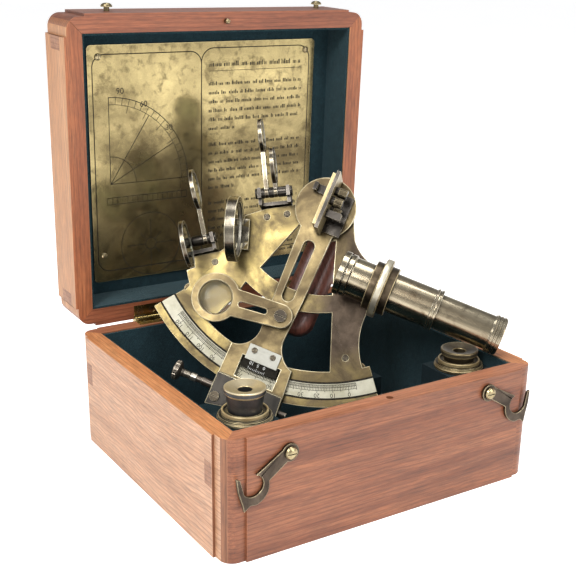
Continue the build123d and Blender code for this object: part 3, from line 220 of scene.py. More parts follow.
def wood(name, dark, middle, light, along, seed=0.0, pore=0.5, rough=0.46, figure=1.0,
         streaks=0.0, lines="Z", swirl=7.0):
    """Oiled hardwood whose grain runs along one axis, with figure, pores and satin gloss.

    Its fine growth lines follow each other along the lines axis; swirl makes them wander.
    """
    shader = Shader(name)
    across = tuple(1.0 if axis == along else CROSS_GRAIN for axis in "XYZ")
    shift = (seed, seed * 0.7, seed * 1.3)
    grain_place = shader.stretch(across, shift)
    bands = shader.noise(5.0, 5.0, 0.6, 0.9 * figure, grain_place)
    fine = shader.noise(70.0, 6.0, 0.72, 0.2, grain_place)
    pores_place = shader.stretch(tuple(v ** 1.45 for v in across), shift)
    pores = shader.noise(55.0, 3.0, 0.6, 0.1, pores_place)
    cloud = shader.noise(9.0, 3.0, 0.5, 0.3)
    body = shader.ramp(bands, (0.22, dark), (0.5, middle), (0.78, light))
    body = shader.mix(shader.ramp(cloud, (0.35, 0.0), (0.7, 0.25)), body, light)
    streak = shader.ramp(fine, (0.36, 0.5), (0.64, 1.16))
    body = shader.mix(0.75, body, streak, "MULTIPLY")
    growth = shader.add("ShaderNodeTexWave", bands_direction=lines)
    fill(growth, Scale=105.0, Distortion=swirl, Detail=3.0, Detail_Scale=0.24)
    drawn_out = tuple(0.35 if axis == along else 1.0 for axis in "XYZ")
    shader.join(shader.stretch(drawn_out, shift), growth.inputs["Vector"])
    thin = shader.ramp(growth.outputs["Fac"], (0.0, (0.68, 0.58, 0.5)), (0.3, 1.0))
    body = shader.mix(shader.ramp(cloud, (0.3, 0.85), (0.7, 0.5)), body, thin, "MULTIPLY")
    pits = shader.ramp(pores, (0.33, 1.0 - pore), (0.46, 1.0))
    body = shader.mix(0.8, body, pits, "MULTIPLY")
    if streaks:
        long_place = shader.stretch(tuple(v * 1.6 for v in across), (seed + 4, seed, 2))
        veins = shader.noise(3.4, 4.0, 0.6, 0.5, long_place)
        vein_tone = shader.ramp(veins, (0.5, 1.0), (0.6, (0.55, 0.42, 0.36)))
        body = shader.mix(streaks, body, vein_tone, "MULTIPLY")
    edge = shader.edge_mask(WOOD_EDGE)
    body = shader.mix(shader.math("MULTIPLY", edge, 0.28), body, light)
    shader.colour(body)
    shader.gloss(shader.ramp(fine, (0.3, rough - 0.06), (0.7, rough + 0.1)))
    shader.bump(shader.mix(0.5, fine, pits), 0.22, 0.0004)
    fill(shader.surface, Coat_Weight=0.05, Coat_Roughness=0.25)
    return shader.material


def felt_cloth(name, deep, lit, sheen=0.35):
    """Pressed wool felt: matted fibres, faint clouds and a soft sheen."""
    shader = Shader(name)
    fibres = shader.noise(900.0, 6.0, 0.75, 1.5)
    mat = shader.noise(140.0, 4.0, 0.6, 0.8)
    cloud = shader.noise(18.0, 3.0, 0.5)
    body = shader.ramp(fibres, (0.35, deep), (0.68, lit))
    body = shader.mix(0.6, body, shader.ramp(mat, (0.3, 0.6), (0.7, 1.25)), "MULTIPLY")
    body = shader.mix(0.5, body, shader.ramp(cloud, (0.3, 0.75), (0.7, 1.15)), "MULTIPLY")
    shader.colour(body)
    fill(shader.surface, Roughness=0.96, Specular_IOR_Level=0.15, Sheen_Weight=sheen,
         Sheen_Roughness=0.5, Sheen_Tint=(0.4, 0.56, 0.6, 1))
    shader.bump(shader.mix(0.5, fibres, mat), 0.9, 0.0006)
    return shader.material


TUBE_STREAK = 7  # how far the telescope's clouds are drawn out along it
SPOKE_SCALE = 5.0  # brings a distance from the arm's pivot, in metres, onto a ramp
SHADE_AND_GRIME_REACH = 0.004  # metres from a corner within which the brass is darkened: painted shade, and grime


def brass(name, patina, body, edge_wear_and_highlight, rough=0.34, wear_and_highlight_amount=0.8, patches=0.5, edge=0.0008,
          metal=1.0, bump=0.12, mottle=1.0, clouds=38.0, streaked=False, painted_dark_reflection=None):
    """Aged brass: brown patina in clouds, a rubbed body colour and bright edges, worn and partly
    a painted highlight.

    Mottle sets how strongly the clouds and stains show, and streaked draws the clouds out along
    the telescope.
    The last argument is a pair of places along the sextant's X, in metres, between which the
    brass is painted darker and browner as a painted dark reflection, less so out on the limb.
    """
    shader = Shader(name)
    place = None
    if streaked:
        turned = shader.add("ShaderNodeMapping", vector_type="TEXTURE")
        fill(turned, Rotation=sextant_matrix.to_euler(), Scale=(TUBE_STREAK, 1, 1))
        shader.join(shader.place, turned.inputs["Vector"])
        place = turned.outputs["Vector"]
    cloud = shader.noise(clouds, 6.0, 0.65, 0.6, place)
    stain = shader.noise(150.0, 4.0, 0.6, 0.3)
    grain = shader.noise(1400.0, 3.0, 0.6)
    low = 0.62 - 0.3 * patches
    tone = shader.mix(shader.ramp(cloud, (low - 0.12, 0.0), (low + 0.16, mottle)), body, patina)
    tone = shader.mix(shader.ramp(stain, (0.5, 0.0), (0.68, 0.75 * mottle)), tone, patina)
    # Painted dark reflection: between the two places the frame is painted darker and browner,
    # less so on the limb.
    if painted_dark_reflection:
        length = painted_dark_reflection[1] - painted_dark_reflection[0]
        along = shader.vector("DOT_PRODUCT", shader.place, sextant_x / length)
        start = (sextant_origin.dot(sextant_x) + painted_dark_reflection[0]) / length
        far = shader.ramp(shader.math("SUBTRACT", along, start), (0.0, 0.0), (1.0, 1.0))
        reach = shader.vector("DISTANCE", shader.place, sextant_origin)
        spoke = shader.ramp(shader.math("MULTIPLY", reach, SPOKE_SCALE),
                            (0.5, 1.0), (0.58, 0.45))
        tone = shader.mix(shader.math("MULTIPLY", far, spoke), tone,
                          shader.ramp(stain, (0.35, (0.034, 0.024, 0.016)),
                                      (0.7, (0.07, 0.05, 0.034))))
    # Bright edges: rubbed wear, and partly a painted highlight.
    mask = shader.edge_mask(edge)
    broken = shader.ramp(stain, (0.25, 0.35), (0.6, 1.0))
    edge_wear_and_highlight_mix = shader.math("MULTIPLY", shader.math("MULTIPLY", mask, broken), wear_and_highlight_amount)
    tone = shader.mix(edge_wear_and_highlight_mix, tone, edge_wear_and_highlight)
    tone = shader.mix(0.1 if streaked else 0.35, tone,
                      shader.ramp(grain, (0.3, 0.7), (0.7, 1.2)), "MULTIPLY")
    # Painted shade and grime: the colour darkens in corners and crevices, by ambient occlusion.
    corner = shader.add("ShaderNodeAmbientOcclusion", samples=6)
    fill(corner, Distance=SHADE_AND_GRIME_REACH)
    tone = shader.mix(1.0, tone, shader.ramp(corner.outputs["AO"], (0.35, 0.3), (0.85, 1.0)),
                      "MULTIPLY")
    shader.colour(tone)
    shader.gloss(shader.ramp(cloud, (0.35, rough - 0.08 * mottle), (0.68, rough + 0.14 * mottle)))
    fill(shader.surface, Metallic=metal)
    if bump:
        shader.bump(shader.mix(0.5, stain, grain), bump, 0.0003)
    return shader.material


def brushed(name, low, high, rough=0.35, metal=0.9):
    """Silvered metal with a fine satin finish and a few yellowed patches."""
    shader = Shader(name)
    grain = shader.noise(2200.0, 2.0, 0.5)
    cloud = shader.noise(60.0, 4.0, 0.6)
    tone = shader.ramp(cloud, (0.35, low), (0.65, high))
    tone = shader.mix(0.4, tone, shader.ramp(grain, (0.3, 0.82), (0.7, 1.1)), "MULTIPLY")
    shader.colour(tone)
    shader.gloss(shader.ramp(cloud, (0.3, rough), (0.7, rough + 0.12)))
    fill(shader.surface, Metallic=metal)
    if metal < 0.9:
        shader.bump(grain, 0.08, 0.0002)
    return shader.material


def glass(name, tint, rough=0.02, smudge=0.06, cover=1.0):
    """Glass with faint smudges in its gloss; a thin clear pane covers less than all."""
    shader = Shader(name)
    cloud = shader.noise(90.0, 4.0, 0.6)
    shader.colour(shader.mix(0.25, tint, shader.ramp(cloud, (0.3, 0.85), (0.7, 1.0)), "MULTIPLY"))
    shader.gloss(shader.ramp(cloud, (0.4, rough), (0.75, rough + smudge)))
    fill(shader.surface, Transmission_Weight=1.0 if cover == 1.0 else 0.0, Alpha=cover)
    return shader.material


def mirror_silver(name):
    """Silvered glass with faint clouds in its gloss."""
    shader = Shader(name)
    cloud = shader.noise(70.0, 4.0, 0.6)
    shader.colour(shader.ramp(cloud, (0.3, (0.72, 0.74, 0.72)), (0.7, (0.88, 0.89, 0.87))))
    shader.gloss(shader.ramp(cloud, (0.4, 0.02), (0.8, 0.09)))
    fill(shader.surface, Metallic=1.0)
    return shader.material


def ink(name, tone=0.012):
    """Dark filling of engraved lines, slightly uneven."""
    shader = Shader(name)
    grain = shader.noise(900.0, 3.0, 0.6)
    shader.colour(shader.ramp(grain, (0.3, (tone, tone * 0.9, tone * 0.7)),
                              (0.75, (tone * 3.5, tone * 3, tone * 2.2))))
    fill(shader.surface, Roughness=0.7, Specular_IOR_Level=0.08)
    shader.bump(grain, 0.2, 0.0001)
    return shader.material


front_wood = wood("front_wood", (0.13, 0.042, 0.017), (0.24, 0.08, 0.034),
                  (0.34, 0.125, 0.053), "X", 0.0, 0.45, streaks=0.55)
rim_wood = wood("rim_wood", (0.22, 0.068, 0.027), (0.37, 0.135, 0.062),
                (0.48, 0.2, 0.105), "X", 1.3, 0.35, lines="Y")
# Lighter than the front wood: partly the wood's own tone, partly painted light for the strongly
# lit left side of the box.
side_wood = wood("side_wood", (0.37, 0.18, 0.092), (0.5, 0.27, 0.152),
                 (0.62, 0.37, 0.23), "Y", 3.1, 0.3, swirl=26.0)
side_end_wood = wood("side_end_wood", (0.17, 0.062, 0.025), (0.29, 0.115, 0.05),
                     (0.4, 0.175, 0.085), "Z", 4.7, 0.3, lines="Y")
side_rim_wood = wood("side_rim_wood", (0.29, 0.1, 0.033), (0.52, 0.2, 0.072),
                     (0.64, 0.29, 0.12), "Y", 6.3, 0.3, lines="X")
lid_front_wood = wood("lid_front_wood", (0.07, 0.02, 0.009), (0.15, 0.048, 0.024),
                      (0.23, 0.085, 0.044), "X", 7.7, 0.4, streaks=0.5)
lid_rim_wood = wood("lid_rim_wood", (0.11, 0.027, 0.01), (0.24, 0.07, 0.028),
                    (0.35, 0.12, 0.052), "X", 9.1, 0.35)
# Lighter than the lid's front wood: partly the wood's own tone, partly painted light for the
# strongly lit left side of the lid.
lid_side_wood = wood("lid_side_wood", (0.34, 0.145, 0.055), (0.47, 0.225, 0.1),
                     (0.6, 0.33, 0.17), "Z", 5.2, 0.3, lines="Y", swirl=18.0)
lid_stile_wood = wood("lid_stile_wood", (0.14, 0.034, 0.01), (0.27, 0.078, 0.026),
                      (0.39, 0.135, 0.05), "Z", 8.4, 0.35, lines="X")
panel_wood = wood("panel_wood", (0.15, 0.055, 0.025), (0.28, 0.105, 0.05),
                  (0.4, 0.17, 0.085), "X", 11.3, 0.4, figure=1.5)
key_wood = wood("key_wood", (0.18, 0.075, 0.036), (0.3, 0.135, 0.07),
                (0.4, 0.2, 0.11), "X", 2.4, 0.5, 0.5)
handle_wood = wood("handle_wood", (0.1, 0.032, 0.022), (0.19, 0.064, 0.045),
                   (0.29, 0.11, 0.078), "Z", 4.4, 0.35, 0.36, lines="X")
felt = felt_cloth("green_felt", (0.0045, 0.0135, 0.0185), (0.0155, 0.042, 0.051))
# The same felt painted darker and with little sheen, for the posts and cradle: painted shade.
shade_felt = felt_cloth("shade_felt", (0.0022, 0.0055, 0.0072), (0.0075, 0.018, 0.0225), 0.15)
fringe_felt = felt_cloth("fringe_felt", (0.006, 0.024, 0.027), (0.03, 0.085, 0.085))
# Paler finishes for rubbed edges: wear, and partly a painted highlight that shows under any
# light.
wear_and_highlight_brass = brass("wear_and_highlight_brass", (0.42, 0.34, 0.19), (0.86, 0.77, 0.52), (0.95, 0.88, 0.68),
                   0.36, 0.5, 0.35, metal=0.55, bump=0.0)
wear_and_highlight_gold = brass("wear_and_highlight_gold", (0.36, 0.25, 0.11), (0.74, 0.6, 0.33), (0.88, 0.76, 0.48),
                  0.34, 0.5, 0.3, metal=0.65, bump=0.0)
# The frame's right side carries a painted dark reflection.
frame_brass = brass("frame_brass", (0.1, 0.074, 0.036), (0.27, 0.205, 0.075),
                    (0.75, 0.64, 0.38), 0.38, 0.7, 0.58, metal=0.85, painted_dark_reflection=(0.008, 0.03))
arm_brass = brass("arm_brass", (0.1, 0.072, 0.036), (0.24, 0.18, 0.082),
                  (0.8, 0.7, 0.46), 0.4, 0.85, 0.5, metal=0.8)
clamp_brass = brass("clamp_brass", (0.018, 0.015, 0.011), (0.048, 0.04, 0.03),
                    (0.75, 0.62, 0.34), 0.46, 0.9, 0.5, metal=0.5)
ring_brass = brass("ring_brass", (0.06, 0.05, 0.038), (0.24, 0.215, 0.165),
                   (0.85, 0.8, 0.62), 0.22, 0.8, 0.5, bump=0.0, mottle=0.8)
shade_brass = brass("shade_brass", (0.07, 0.055, 0.04), (0.2, 0.17, 0.12),
                    (0.8, 0.74, 0.56), 0.24, 0.8, 0.55, bump=0.0, mottle=0.8)
bracket_brass = brass("bracket_brass", (0.2, 0.15, 0.075), (0.36, 0.28, 0.14),
                      (0.85, 0.78, 0.52), 0.36, 0.6, 0.4, metal=0.7, bump=0.0, mottle=0.6)
dark_brass = brass("dark_brass", (0.028, 0.021, 0.014), (0.085, 0.064, 0.038),
                   (0.6, 0.5, 0.3), 0.3, 0.8, 0.6)
hub_brass = brass("hub_brass", (0.05, 0.036, 0.023), (0.15, 0.115, 0.075),
                  (0.6, 0.5, 0.3), 0.36, 0.6, 0.5, bump=0.0)
old_gold = brass("old_gold", (0.1, 0.075, 0.045), (0.3, 0.245, 0.15),
                 (0.7, 0.6, 0.38), 0.32, 0.7, 0.5, metal=0.8, bump=0.0)
dark_steel = brass("dark_steel", (0.02, 0.017, 0.014), (0.06, 0.052, 0.043),
                   (0.5, 0.45, 0.36), 0.28, 0.5, 0.5, 0.0003, metal=0.85, bump=0.0)
bronze = brass("bronze", (0.045, 0.045, 0.044), (0.105, 0.102, 0.096),
               (0.6, 0.5, 0.32), 0.32, 0.6, 0.5, metal=0.7)
bright_brass = brass("bright_brass", (0.34, 0.27, 0.14), (0.62, 0.53, 0.35),
                     (0.9, 0.84, 0.62), 0.3, 0.7, 0.3, metal=0.7, bump=0.0, mottle=0.6)
tangent_brass = brass("tangent_brass", (0.05, 0.041, 0.033), (0.15, 0.125, 0.1),
                      (0.7, 0.62, 0.48), 0.34, 0.7, 0.5, metal=0.8, bump=0.0)
bright_steel = brass("bright_steel", (0.2, 0.175, 0.14), (0.4, 0.37, 0.31),
                     (0.85, 0.82, 0.7), 0.32, 0.7, 0.4, metal=0.85, bump=0.0)
small_screw_brass = brass("small_screw_brass", (0.03, 0.022, 0.014), (0.08, 0.06, 0.036),
                          (0.65, 0.55, 0.36), 0.4, 0.9, 0.5, 0.0003, metal=0.6, bump=0.0)
hook_brass = brass("hook_brass", (0.045, 0.034, 0.026), (0.12, 0.092, 0.068),
                   (0.5, 0.42, 0.3), 0.36, 0.7, 0.5, 0.0006)
tube_brass = brass("tube_brass", (0.12, 0.083, 0.048), (0.5, 0.43, 0.3),
                   (0.9, 0.85, 0.7), 0.2, 0.8, 0.45, bump=0.0, mottle=0.75,
                   clouds=70.0, streaked=True)
screw_brass = brass("screw_brass", (0.2, 0.15, 0.08), (0.5, 0.41, 0.23),
                    (0.9, 0.8, 0.54), 0.26, 0.7, 0.35, 0.0004)
leaf_brass = brass("leaf_brass", (0.28, 0.19, 0.07), (0.55, 0.41, 0.16),
                   (0.88, 0.75, 0.42), 0.27, 0.7, 0.3)
plate_brass = brass("plate_brass", (0.125, 0.093, 0.042), (0.54, 0.43, 0.2),
                    (0.85, 0.75, 0.44), 0.17, 0.6, 0.45, metal=0.85, bump=0.0, clouds=9.0)
scale_silver = brushed("scale_silver", (0.42, 0.39, 0.27), (0.66, 0.63, 0.5), 0.5, 0.25)
vernier_silver = brushed("vernier_silver", (0.36, 0.35, 0.29), (0.5, 0.49, 0.43), 0.45, 0.4)
pale_silver = brushed("pale_silver", (0.46, 0.41, 0.3), (0.66, 0.61, 0.48), 0.34, 0.95)
black_band = ink("black_band", 0.009)
clear_glass = glass("clear_glass", (0.34, 0.3, 0.2), cover=0.14)
smoked_glass = glass("smoked_glass", (0.2, 0.22, 0.17))
mirror_glass = mirror_silver("mirror_glass")
engraving = ink("engraving")
white_paint = brushed("white_paint", (0.75, 0.75, 0.7), (0.88, 0.88, 0.84), 0.5, 0.0)


# ---------- CAD nodes, softened
BASE = Matrix.Identity(4)
WELD = 2e-6  # metres within which a CAD mesh's corners are one
SHARP_ANGLE = math.radians(32.0)  # edges that turn more than this are rounded


def softened(node, width, *finishes, pick=None, matrix=BASE, edge_wear_and_highlight=None):
    """A copy of a CAD node with its sharp edges rounded, which stands in for the node.

    Width is the rounding in millimetres. With more than one finish, pick(centre, normal) gives
    the number of a face's finish from its place in millimetres inside the frame given by
    matrix. The rounded edges take the paler edge finish, wear and partly a painted highlight, if
    any.
    """
    source = nodes[node]
    mesh = source.data.copy()
    mesh.name = f"{node}_finished"
    mesh.materials.clear()
    for finish in (*finishes, edge_wear_and_highlight) if edge_wear_and_highlight else finishes:
        mesh.materials.append(finish)
    piece = add_object(f"{node}_finished", mesh)
    work = bmesh.new()
    work.from_mesh(mesh)
    bmesh.ops.remove_doubles(work, verts=work.verts, dist=WELD)
    inverse = matrix.inverted()
    turned = inverse.to_3x3()
    for face in work.faces:
        centre = (inverse @ face.calc_center_median()) / MM
        face.material_index = pick(centre, turned @ face.normal) if pick else 0
    work.to_mesh(mesh)
    work.free()
    bevel = piece.modifiers.new("soft_edges", "BEVEL")
    bevel.width = width * MM
    bevel.segments = 2
    bevel.limit_method = "ANGLE"
    bevel.angle_limit = SHARP_ANGLE
    bevel.use_clamp_overlap = True
    if edge_wear_and_highlight:
        bevel.material = len(finishes)
    mesh.shade_smooth()
    mesh.set_sharp_from_angle(angle=SHARP_ANGLE)
    even = piece.modifiers.new("even_shading", "WEIGHTED_NORMAL")
    even.keep_sharp = True
    even.weight = 80
    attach(piece, source["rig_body"])
    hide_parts(node)


def dress(names, material):
    """Give CAD nodes that keep their own mesh a finished material."""
    for name in names:
        for slot in nodes[name].material_slots:
            slot.material = material


def extent(node, matrix):
    """Lowest and highest corner of a node, in millimetres inside a frame."""
    inverse = matrix.inverted()
    places = [(inverse @ vertex.co) / MM for vertex in nodes[node].data.vertices]
    low = Vector([min(place[i] for place in places) for i in range(3)])
    high = Vector([max(place[i] for place in places) for i in range(3)])
    return low, high


def middle_of(node, matrix):
    """Middle of a node's box, in millimetres inside a frame."""
    low, high = extent(node, matrix)
    return (low + high) / 2


def rim_faces(centre, normal):
    """Finish 1 on a board's faces along the frame's Z, 2 on its ends along Y, else 0."""
    return 1 if abs(normal.z) > 0.9 else 2 if abs(normal.y) > 0.3 else 0


# The box's boards: the edge on the base and on the lid, then the finishes that rim_faces picks.
BASE_EDGE, LID_EDGE = 0.5, 0.6
for boards, base_finishes, lid_finishes in (
        (("front", "back"), (front_wood, rim_wood, front_wood),
         (lid_front_wood, lid_rim_wood, lid_front_wood)),
        (("left", "right"), (side_wood, side_rim_wood, side_end_wood),
         (lid_side_wood, lid_stile_wood, side_end_wood))):
    for board in boards:
        softened(f"base_{board}", BASE_EDGE, *base_finishes, pick=rim_faces)
        softened(f"lid_{board}", LID_EDGE, *lid_finishes, pick=rim_faces, matrix=lid_matrix)

SHADES = ("index_shade_long", "index_shade_short", "horizon_shade_upper", "horizon_shade_lower")

# Nodes of one finish: edge in millimetres, finish, and the paler finish of the edge itself, which
# is wear and partly a painted highlight.
soft_edges = {
    "handle": (0.5, handle_wood, None),
    "hook_left": (0.35, hook_brass, old_gold), "hook_right": (0.35, hook_brass, old_gold),
    "sextant_frame": (0.35, frame_brass, wear_and_highlight_brass), "index_arm": (0.45, arm_brass, wear_and_highlight_brass),
    "clamp_block": (0.5, clamp_brass, wear_and_highlight_brass), "magnifier_arm": (0.5, arm_brass, wear_and_highlight_brass),
    "telescope_collar": (0.4, hub_brass, wear_and_highlight_gold),
    "shade_brackets": (0.3, dark_steel, bright_steel),
    **{shade: (0.35, shade_brass, bright_steel) for shade in SHADES},
    "index_axle": (0.4, arm_brass, wear_and_highlight_brass), "frame_pillars": (0.3, arm_brass, None),
    "telescope_tube": (0.25, tube_brass, None), "telescope_draw_tube": (0.25, tube_brass, None),
    "tangent_screw": (0.25, tangent_brass, bright_steel),
    # The right spare eyepiece takes old gold, lighter than the left one's bronze body: painted
    # light that lifts it out of shade.
    "spare_eyepiece_right": (0.3, old_gold, wear_and_highlight_gold),
}
for node_name, (edge_mm, finish, edge_finish) in soft_edges.items():
    softened(node_name, edge_mm, finish, edge_wear_and_highlight=edge_finish)

horizon_turn = math.radians(19.4)  # the horizon mirror's facing, from the telescope's way
horizon_way = (math.cos(horizon_turn), math.sin(horizon_turn), 0)
ring_middle = middle_of("horizon_mirror_glass", sextant_matrix)
foot_depth = 5.0  # behind the glass by this much, the ring's foot starts


def ring_finish(centre, normal):
    """The foot behind the horizon mirror looks like the frame, the ring itself is darker."""
    place = centre - ring_middle
    depth = place.x * horizon_way[0] + place.y * horizon_way[1]
    return 1 if depth > foot_depth else 0


softened("horizon_mirror_ring", 0.5, ring_brass, frame_brass, matrix=sextant_matrix,
         pick=ring_finish, edge_wear_and_highlight=wear_and_highlight_brass)
plate_near, plate_far = 1.4, 4.2  # along X, where the bracket's upright plate stands


def bracket_finish(centre, normal):
    """Paler faces on the upright plate that carries the index mirror."""
    return 1 if plate_near < centre.x < plate_far and abs(normal.x) > 0.9 else 0


softened("index_mirror_bracket", 0.4, dark_steel, bracket_brass, matrix=sextant_matrix,
         pick=bracket_finish, edge_wear_and_highlight=wear_and_highlight_gold)

band_top = extent("vernier", sextant_matrix)[1].z - 1.1  # under the vernier's silver plate
softened("vernier", 0.2, vernier_silver, black_band, matrix=sextant_matrix,
         pick=lambda centre, normal: 1 if centre.z < band_top + 0.05 else 0)

left_low, left_high = extent("spare_eyepiece_left", BASE)
flange_edge_top = left_low.z + 2.7
dish_floor = left_high.z - 2.2


def eyepiece_finish(centre, normal):
    """Bright dished top and flange edge, dark neck and flare."""
    inside_dish = centre.z > dish_floor and normal.z > 0.3
    flange_edge = centre.z < flange_edge_top and abs(normal.z) < 0.3
    return 1 if inside_dish or flange_edge else 0


softened("spare_eyepiece_left", 0.3, bronze, bright_brass, pick=eyepiece_finish,
         edge_wear_and_highlight=wear_and_highlight_gold)
softened("index_mirror_glass", 0.2, bracket_brass, mirror_glass, matrix=sextant_matrix,
         pick=lambda centre, normal: 1 if normal.x < -0.9 else 0)

dress(["base_bottom", "lid_top"], panel_wood)
dress(["base_joint_keys", "lid_joint_keys"], key_wood)
dress(["base_lining", "lid_lining"], felt)
dress(["eyepiece_posts", "sextant_cradle"], shade_felt)
dress(["hinge_leaves_base", "hinge_leaves_lid", "hinge_pins"], leaf_brass)
dress(["hinge_screws_base", "hinge_screws_lid", "hook_screws", "lid_studs", "lid_dowel_pin",
       "plaque_screws"], screw_brass)
dress(["frame_screws", "index_arm_screws"], small_screw_brass)
dress(["plaque"], plate_brass)
dress(["limb_scale"], scale_silver)
dress(["objective_lens", "magnifier_lens"], clear_glass)
dress([f"{shade}_glass" for shade in SHADES], smoked_glass)
dress(["horizon_mirror_glass"], mirror_glass)


# ---------- shapes built in mesh code
class Relief:
    """Closed shapes in millimetres, placed in one frame and joined in one piece."""

    def __init__(self, name, matrix, body, material):
        self.name = name
        self.matrix = matrix
        self.body = body
        self.material = material
        self.work = bmesh.new()

    def strip(self, first, second, low, high, closed=False):
        """Solid ribbon between two rows of (x, y) points, from one height to another."""
        rows = [[self.work.verts.new((x, y, z)) for x, y in row]
                for row, z in ((first, low), (second, low), (second, high), (first, high))]
        count = len(first)
        steps = range(count if closed else count - 1)
        for i in steps:
            j = (i + 1) % count
            for side in range(4):
                one, two = rows[side], rows[(side + 1) % 4]
                self.work.faces.new((one[i], one[j], two[j], two[i]))
        if not closed:
            self.work.faces.new([row[0] for row in rows])
            self.work.faces.new([row[-1] for row in reversed(rows)])

    def stroke(self, start, end, width, low, high):
        """Straight bar from one point to another."""
        way = Vector((end[0] - start[0], end[1] - start[1])).normalized() * width / 2
        rows = [[(x - sign * way.y, y + sign * way.x) for x, y in (start, end)]
                for sign in (1, -1)]
        self.strip(*rows, low, high)

    def arc(self, middle, radius, width, start, end, low, high):
        """Bar along an arc about a middle point, with its angles in degrees."""
        whole = abs(end - start) > 359.9
        steps = max(4, int(abs(end - start) * radius / 90))    # each about 1.6 mm long
        angles = [math.radians(start + (end - start) * i / steps)
                  for i in range(steps if whole else steps + 1)]
        rows = [[(middle[0] + r * math.cos(a), middle[1] + r * math.sin(a)) for a in angles]
                for r in (radius - width / 2, radius + width / 2)]
        self.strip(*rows, low, high, closed=whole)

    def numeral(self, words, place, size, turn, low, high, from_below=False):
        """Plain numerals about a place, turned by an angle in degrees.

        From_below mirrors them, for a face that is seen against the frame's Z.
        """
        curve = bpy.data.curves.new("numeral", "FONT")
        curve.body = words
        curve.size = size
        curve.extrude = (high - low) / 2
        curve.resolution_u = 3
        curve.align_x = curve.align_y = "CENTER"
        holder = bpy.data.objects.new("numeral", curve)
        mesh = bpy.data.meshes.new_from_object(holder)
        move = (Matrix.Translation((*place, (low + high) / 2))
                @ Matrix.Rotation(math.radians(turn), 4, "Z"))
        if from_below:
            move = move @ Matrix.Scale(-1, 4, (0, 1, 0))
        mesh.transform(move)
        self.work.from_mesh(mesh)
        bpy.data.objects.remove(holder)
        bpy.data.meshes.remove(mesh)

    def turned(self, profile, count=64, ribs=0.0):
        """Ring made by turning a closed (radius, height) profile about the frame's Z.

        Ribs lifts the profile's widest points by that much on every second pair of steps.
        """
        widest = max(radius for radius, height in profile)
        rings = []
        for number in range(count):
            angle = 2 * math.pi * number / count
            lift = ribs if number % 4 in (0, 1) else 0.0
            ring = []
            for radius, height in profile:
                grown = radius + lift if radius > widest - 0.05 else radius
                ring.append(self.work.verts.new((grown * math.cos(angle),
                                                 grown * math.sin(angle), height)))
            rings.append(ring)
        size = len(profile)
        for number in range(count):
            one, two = rings[number], rings[(number + 1) % count]
            for i in range(size):
                j = (i + 1) % size
                self.work.faces.new((one[i], two[i], two[j], one[j]))

    def done(self):
        """Close the shapes up as one piece that rides on its body."""
        bmesh.ops.remove_doubles(self.work, verts=self.work.verts, dist=0.002)
        bmesh.ops.recalc_face_normals(self.work, faces=self.work.faces)
        mesh = bpy.data.meshes.new(self.name)
        self.work.to_mesh(mesh)
        self.work.free()
        mesh.transform(self.matrix @ Matrix.Scale(MM, 4))
        mesh.materials.append(self.material)
        mesh.shade_smooth()
        mesh.set_sharp_from_angle(angle=math.radians(30.0))
        piece = add_object(self.name, mesh)
        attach(piece, self.body)


def axis_frame(matrix, origin, axis):
    """Frame inside another one, with its Z along an axis; the origin is in millimetres."""
    turn = Vector(axis).to_track_quat("Z", "Y").to_matrix().to_4x4()
    return matrix @ Matrix.Translation(Vector(origin) * MM) @ turn


def polar(radius, degrees):
    """The (x, y) point at a distance and an angle."""
    angle = math.radians(degrees)
    return radius * math.cos(angle), radius * math.sin(angle)


# ---------- the limb's graduation
scale_top = extent("limb_scale", sextant_matrix)[1].z
mark_low, mark_high = scale_top - 0.05, scale_top + 0.03
border_radii = (124.9, 136.2)
limb_start, limb_end = -128.3, -52.0  # where the borders end, in degrees
first_degree, last_degree = -60.2, -119.5  # where the numbers 0 and 120 stand
degrees_marked = 120
spare_degrees = 5  # divisions past either end
ladder = (126.3, 128.3, 130.3)  # radii of the lines along the divisions
five_end, ten_end = 131.2, 132.0  # how far the longer divisions reach
number_radius = 133.7


def scale_marks():
    """Border lines, the ladder of fine divisions and the numbers of the limb."""
    marks = Relief("scale_marks", sextant_matrix, "sextant", engraving)
    for radius in border_radii:
        marks.arc((0, 0), radius, 1.35, limb_start, limb_end, mark_low, mark_high)
    step = (last_degree - first_degree) / degrees_marked
    for radius in ladder:
        marks.arc((0, 0), radius, 0.3, first_degree - spare_degrees * step,
                  last_degree + spare_degrees * step, mark_low, mark_high)
    for number in range(-spare_degrees, degrees_marked + spare_degrees + 1):
        angle = first_degree + number * step
        end = ten_end if number % 10 == 0 else five_end if number % 5 == 0 else ladder[2]
        for turn, far, width in ((0, end, 0.38 if number % 5 == 0 else 0.3),
                                 (step / 2, ladder[1], 0.2)):
            marks.stroke(polar(ladder[0], angle + turn), polar(far, angle + turn), width,
                         mark_low, mark_high)
    for number in range(0, degrees_marked + 1, 10):
        angle = first_degree + number * step
        marks.numeral(str(number), polar(number_radius, angle), 4.3, angle - 90,
                      mark_low, mark_high)
    marks.done()


def vernier_marks():
    """White figures and divisions on the vernier's black band."""
    marks = Relief("vernier_marks", sextant_matrix, "index_arm", white_paint)
    low, high = band_top - 0.02, band_top + 0.04
    for number, angle in (("0", -88.1), ("5", -90.3), ("10", -92.6)):
        marks.numeral(number, polar(122.6, angle), 3.3, angle - 90, low, high)
    first, pitch = -87.6, 0.55
    for step in range(11):
        angle = first - pitch * step
        start = 125.2 if step % 5 == 0 else 126.0
        marks.stroke(polar(start, angle), polar(127.2, angle), 0.24, low, high)
    marks.done()


scale_marks()
vernier_marks()


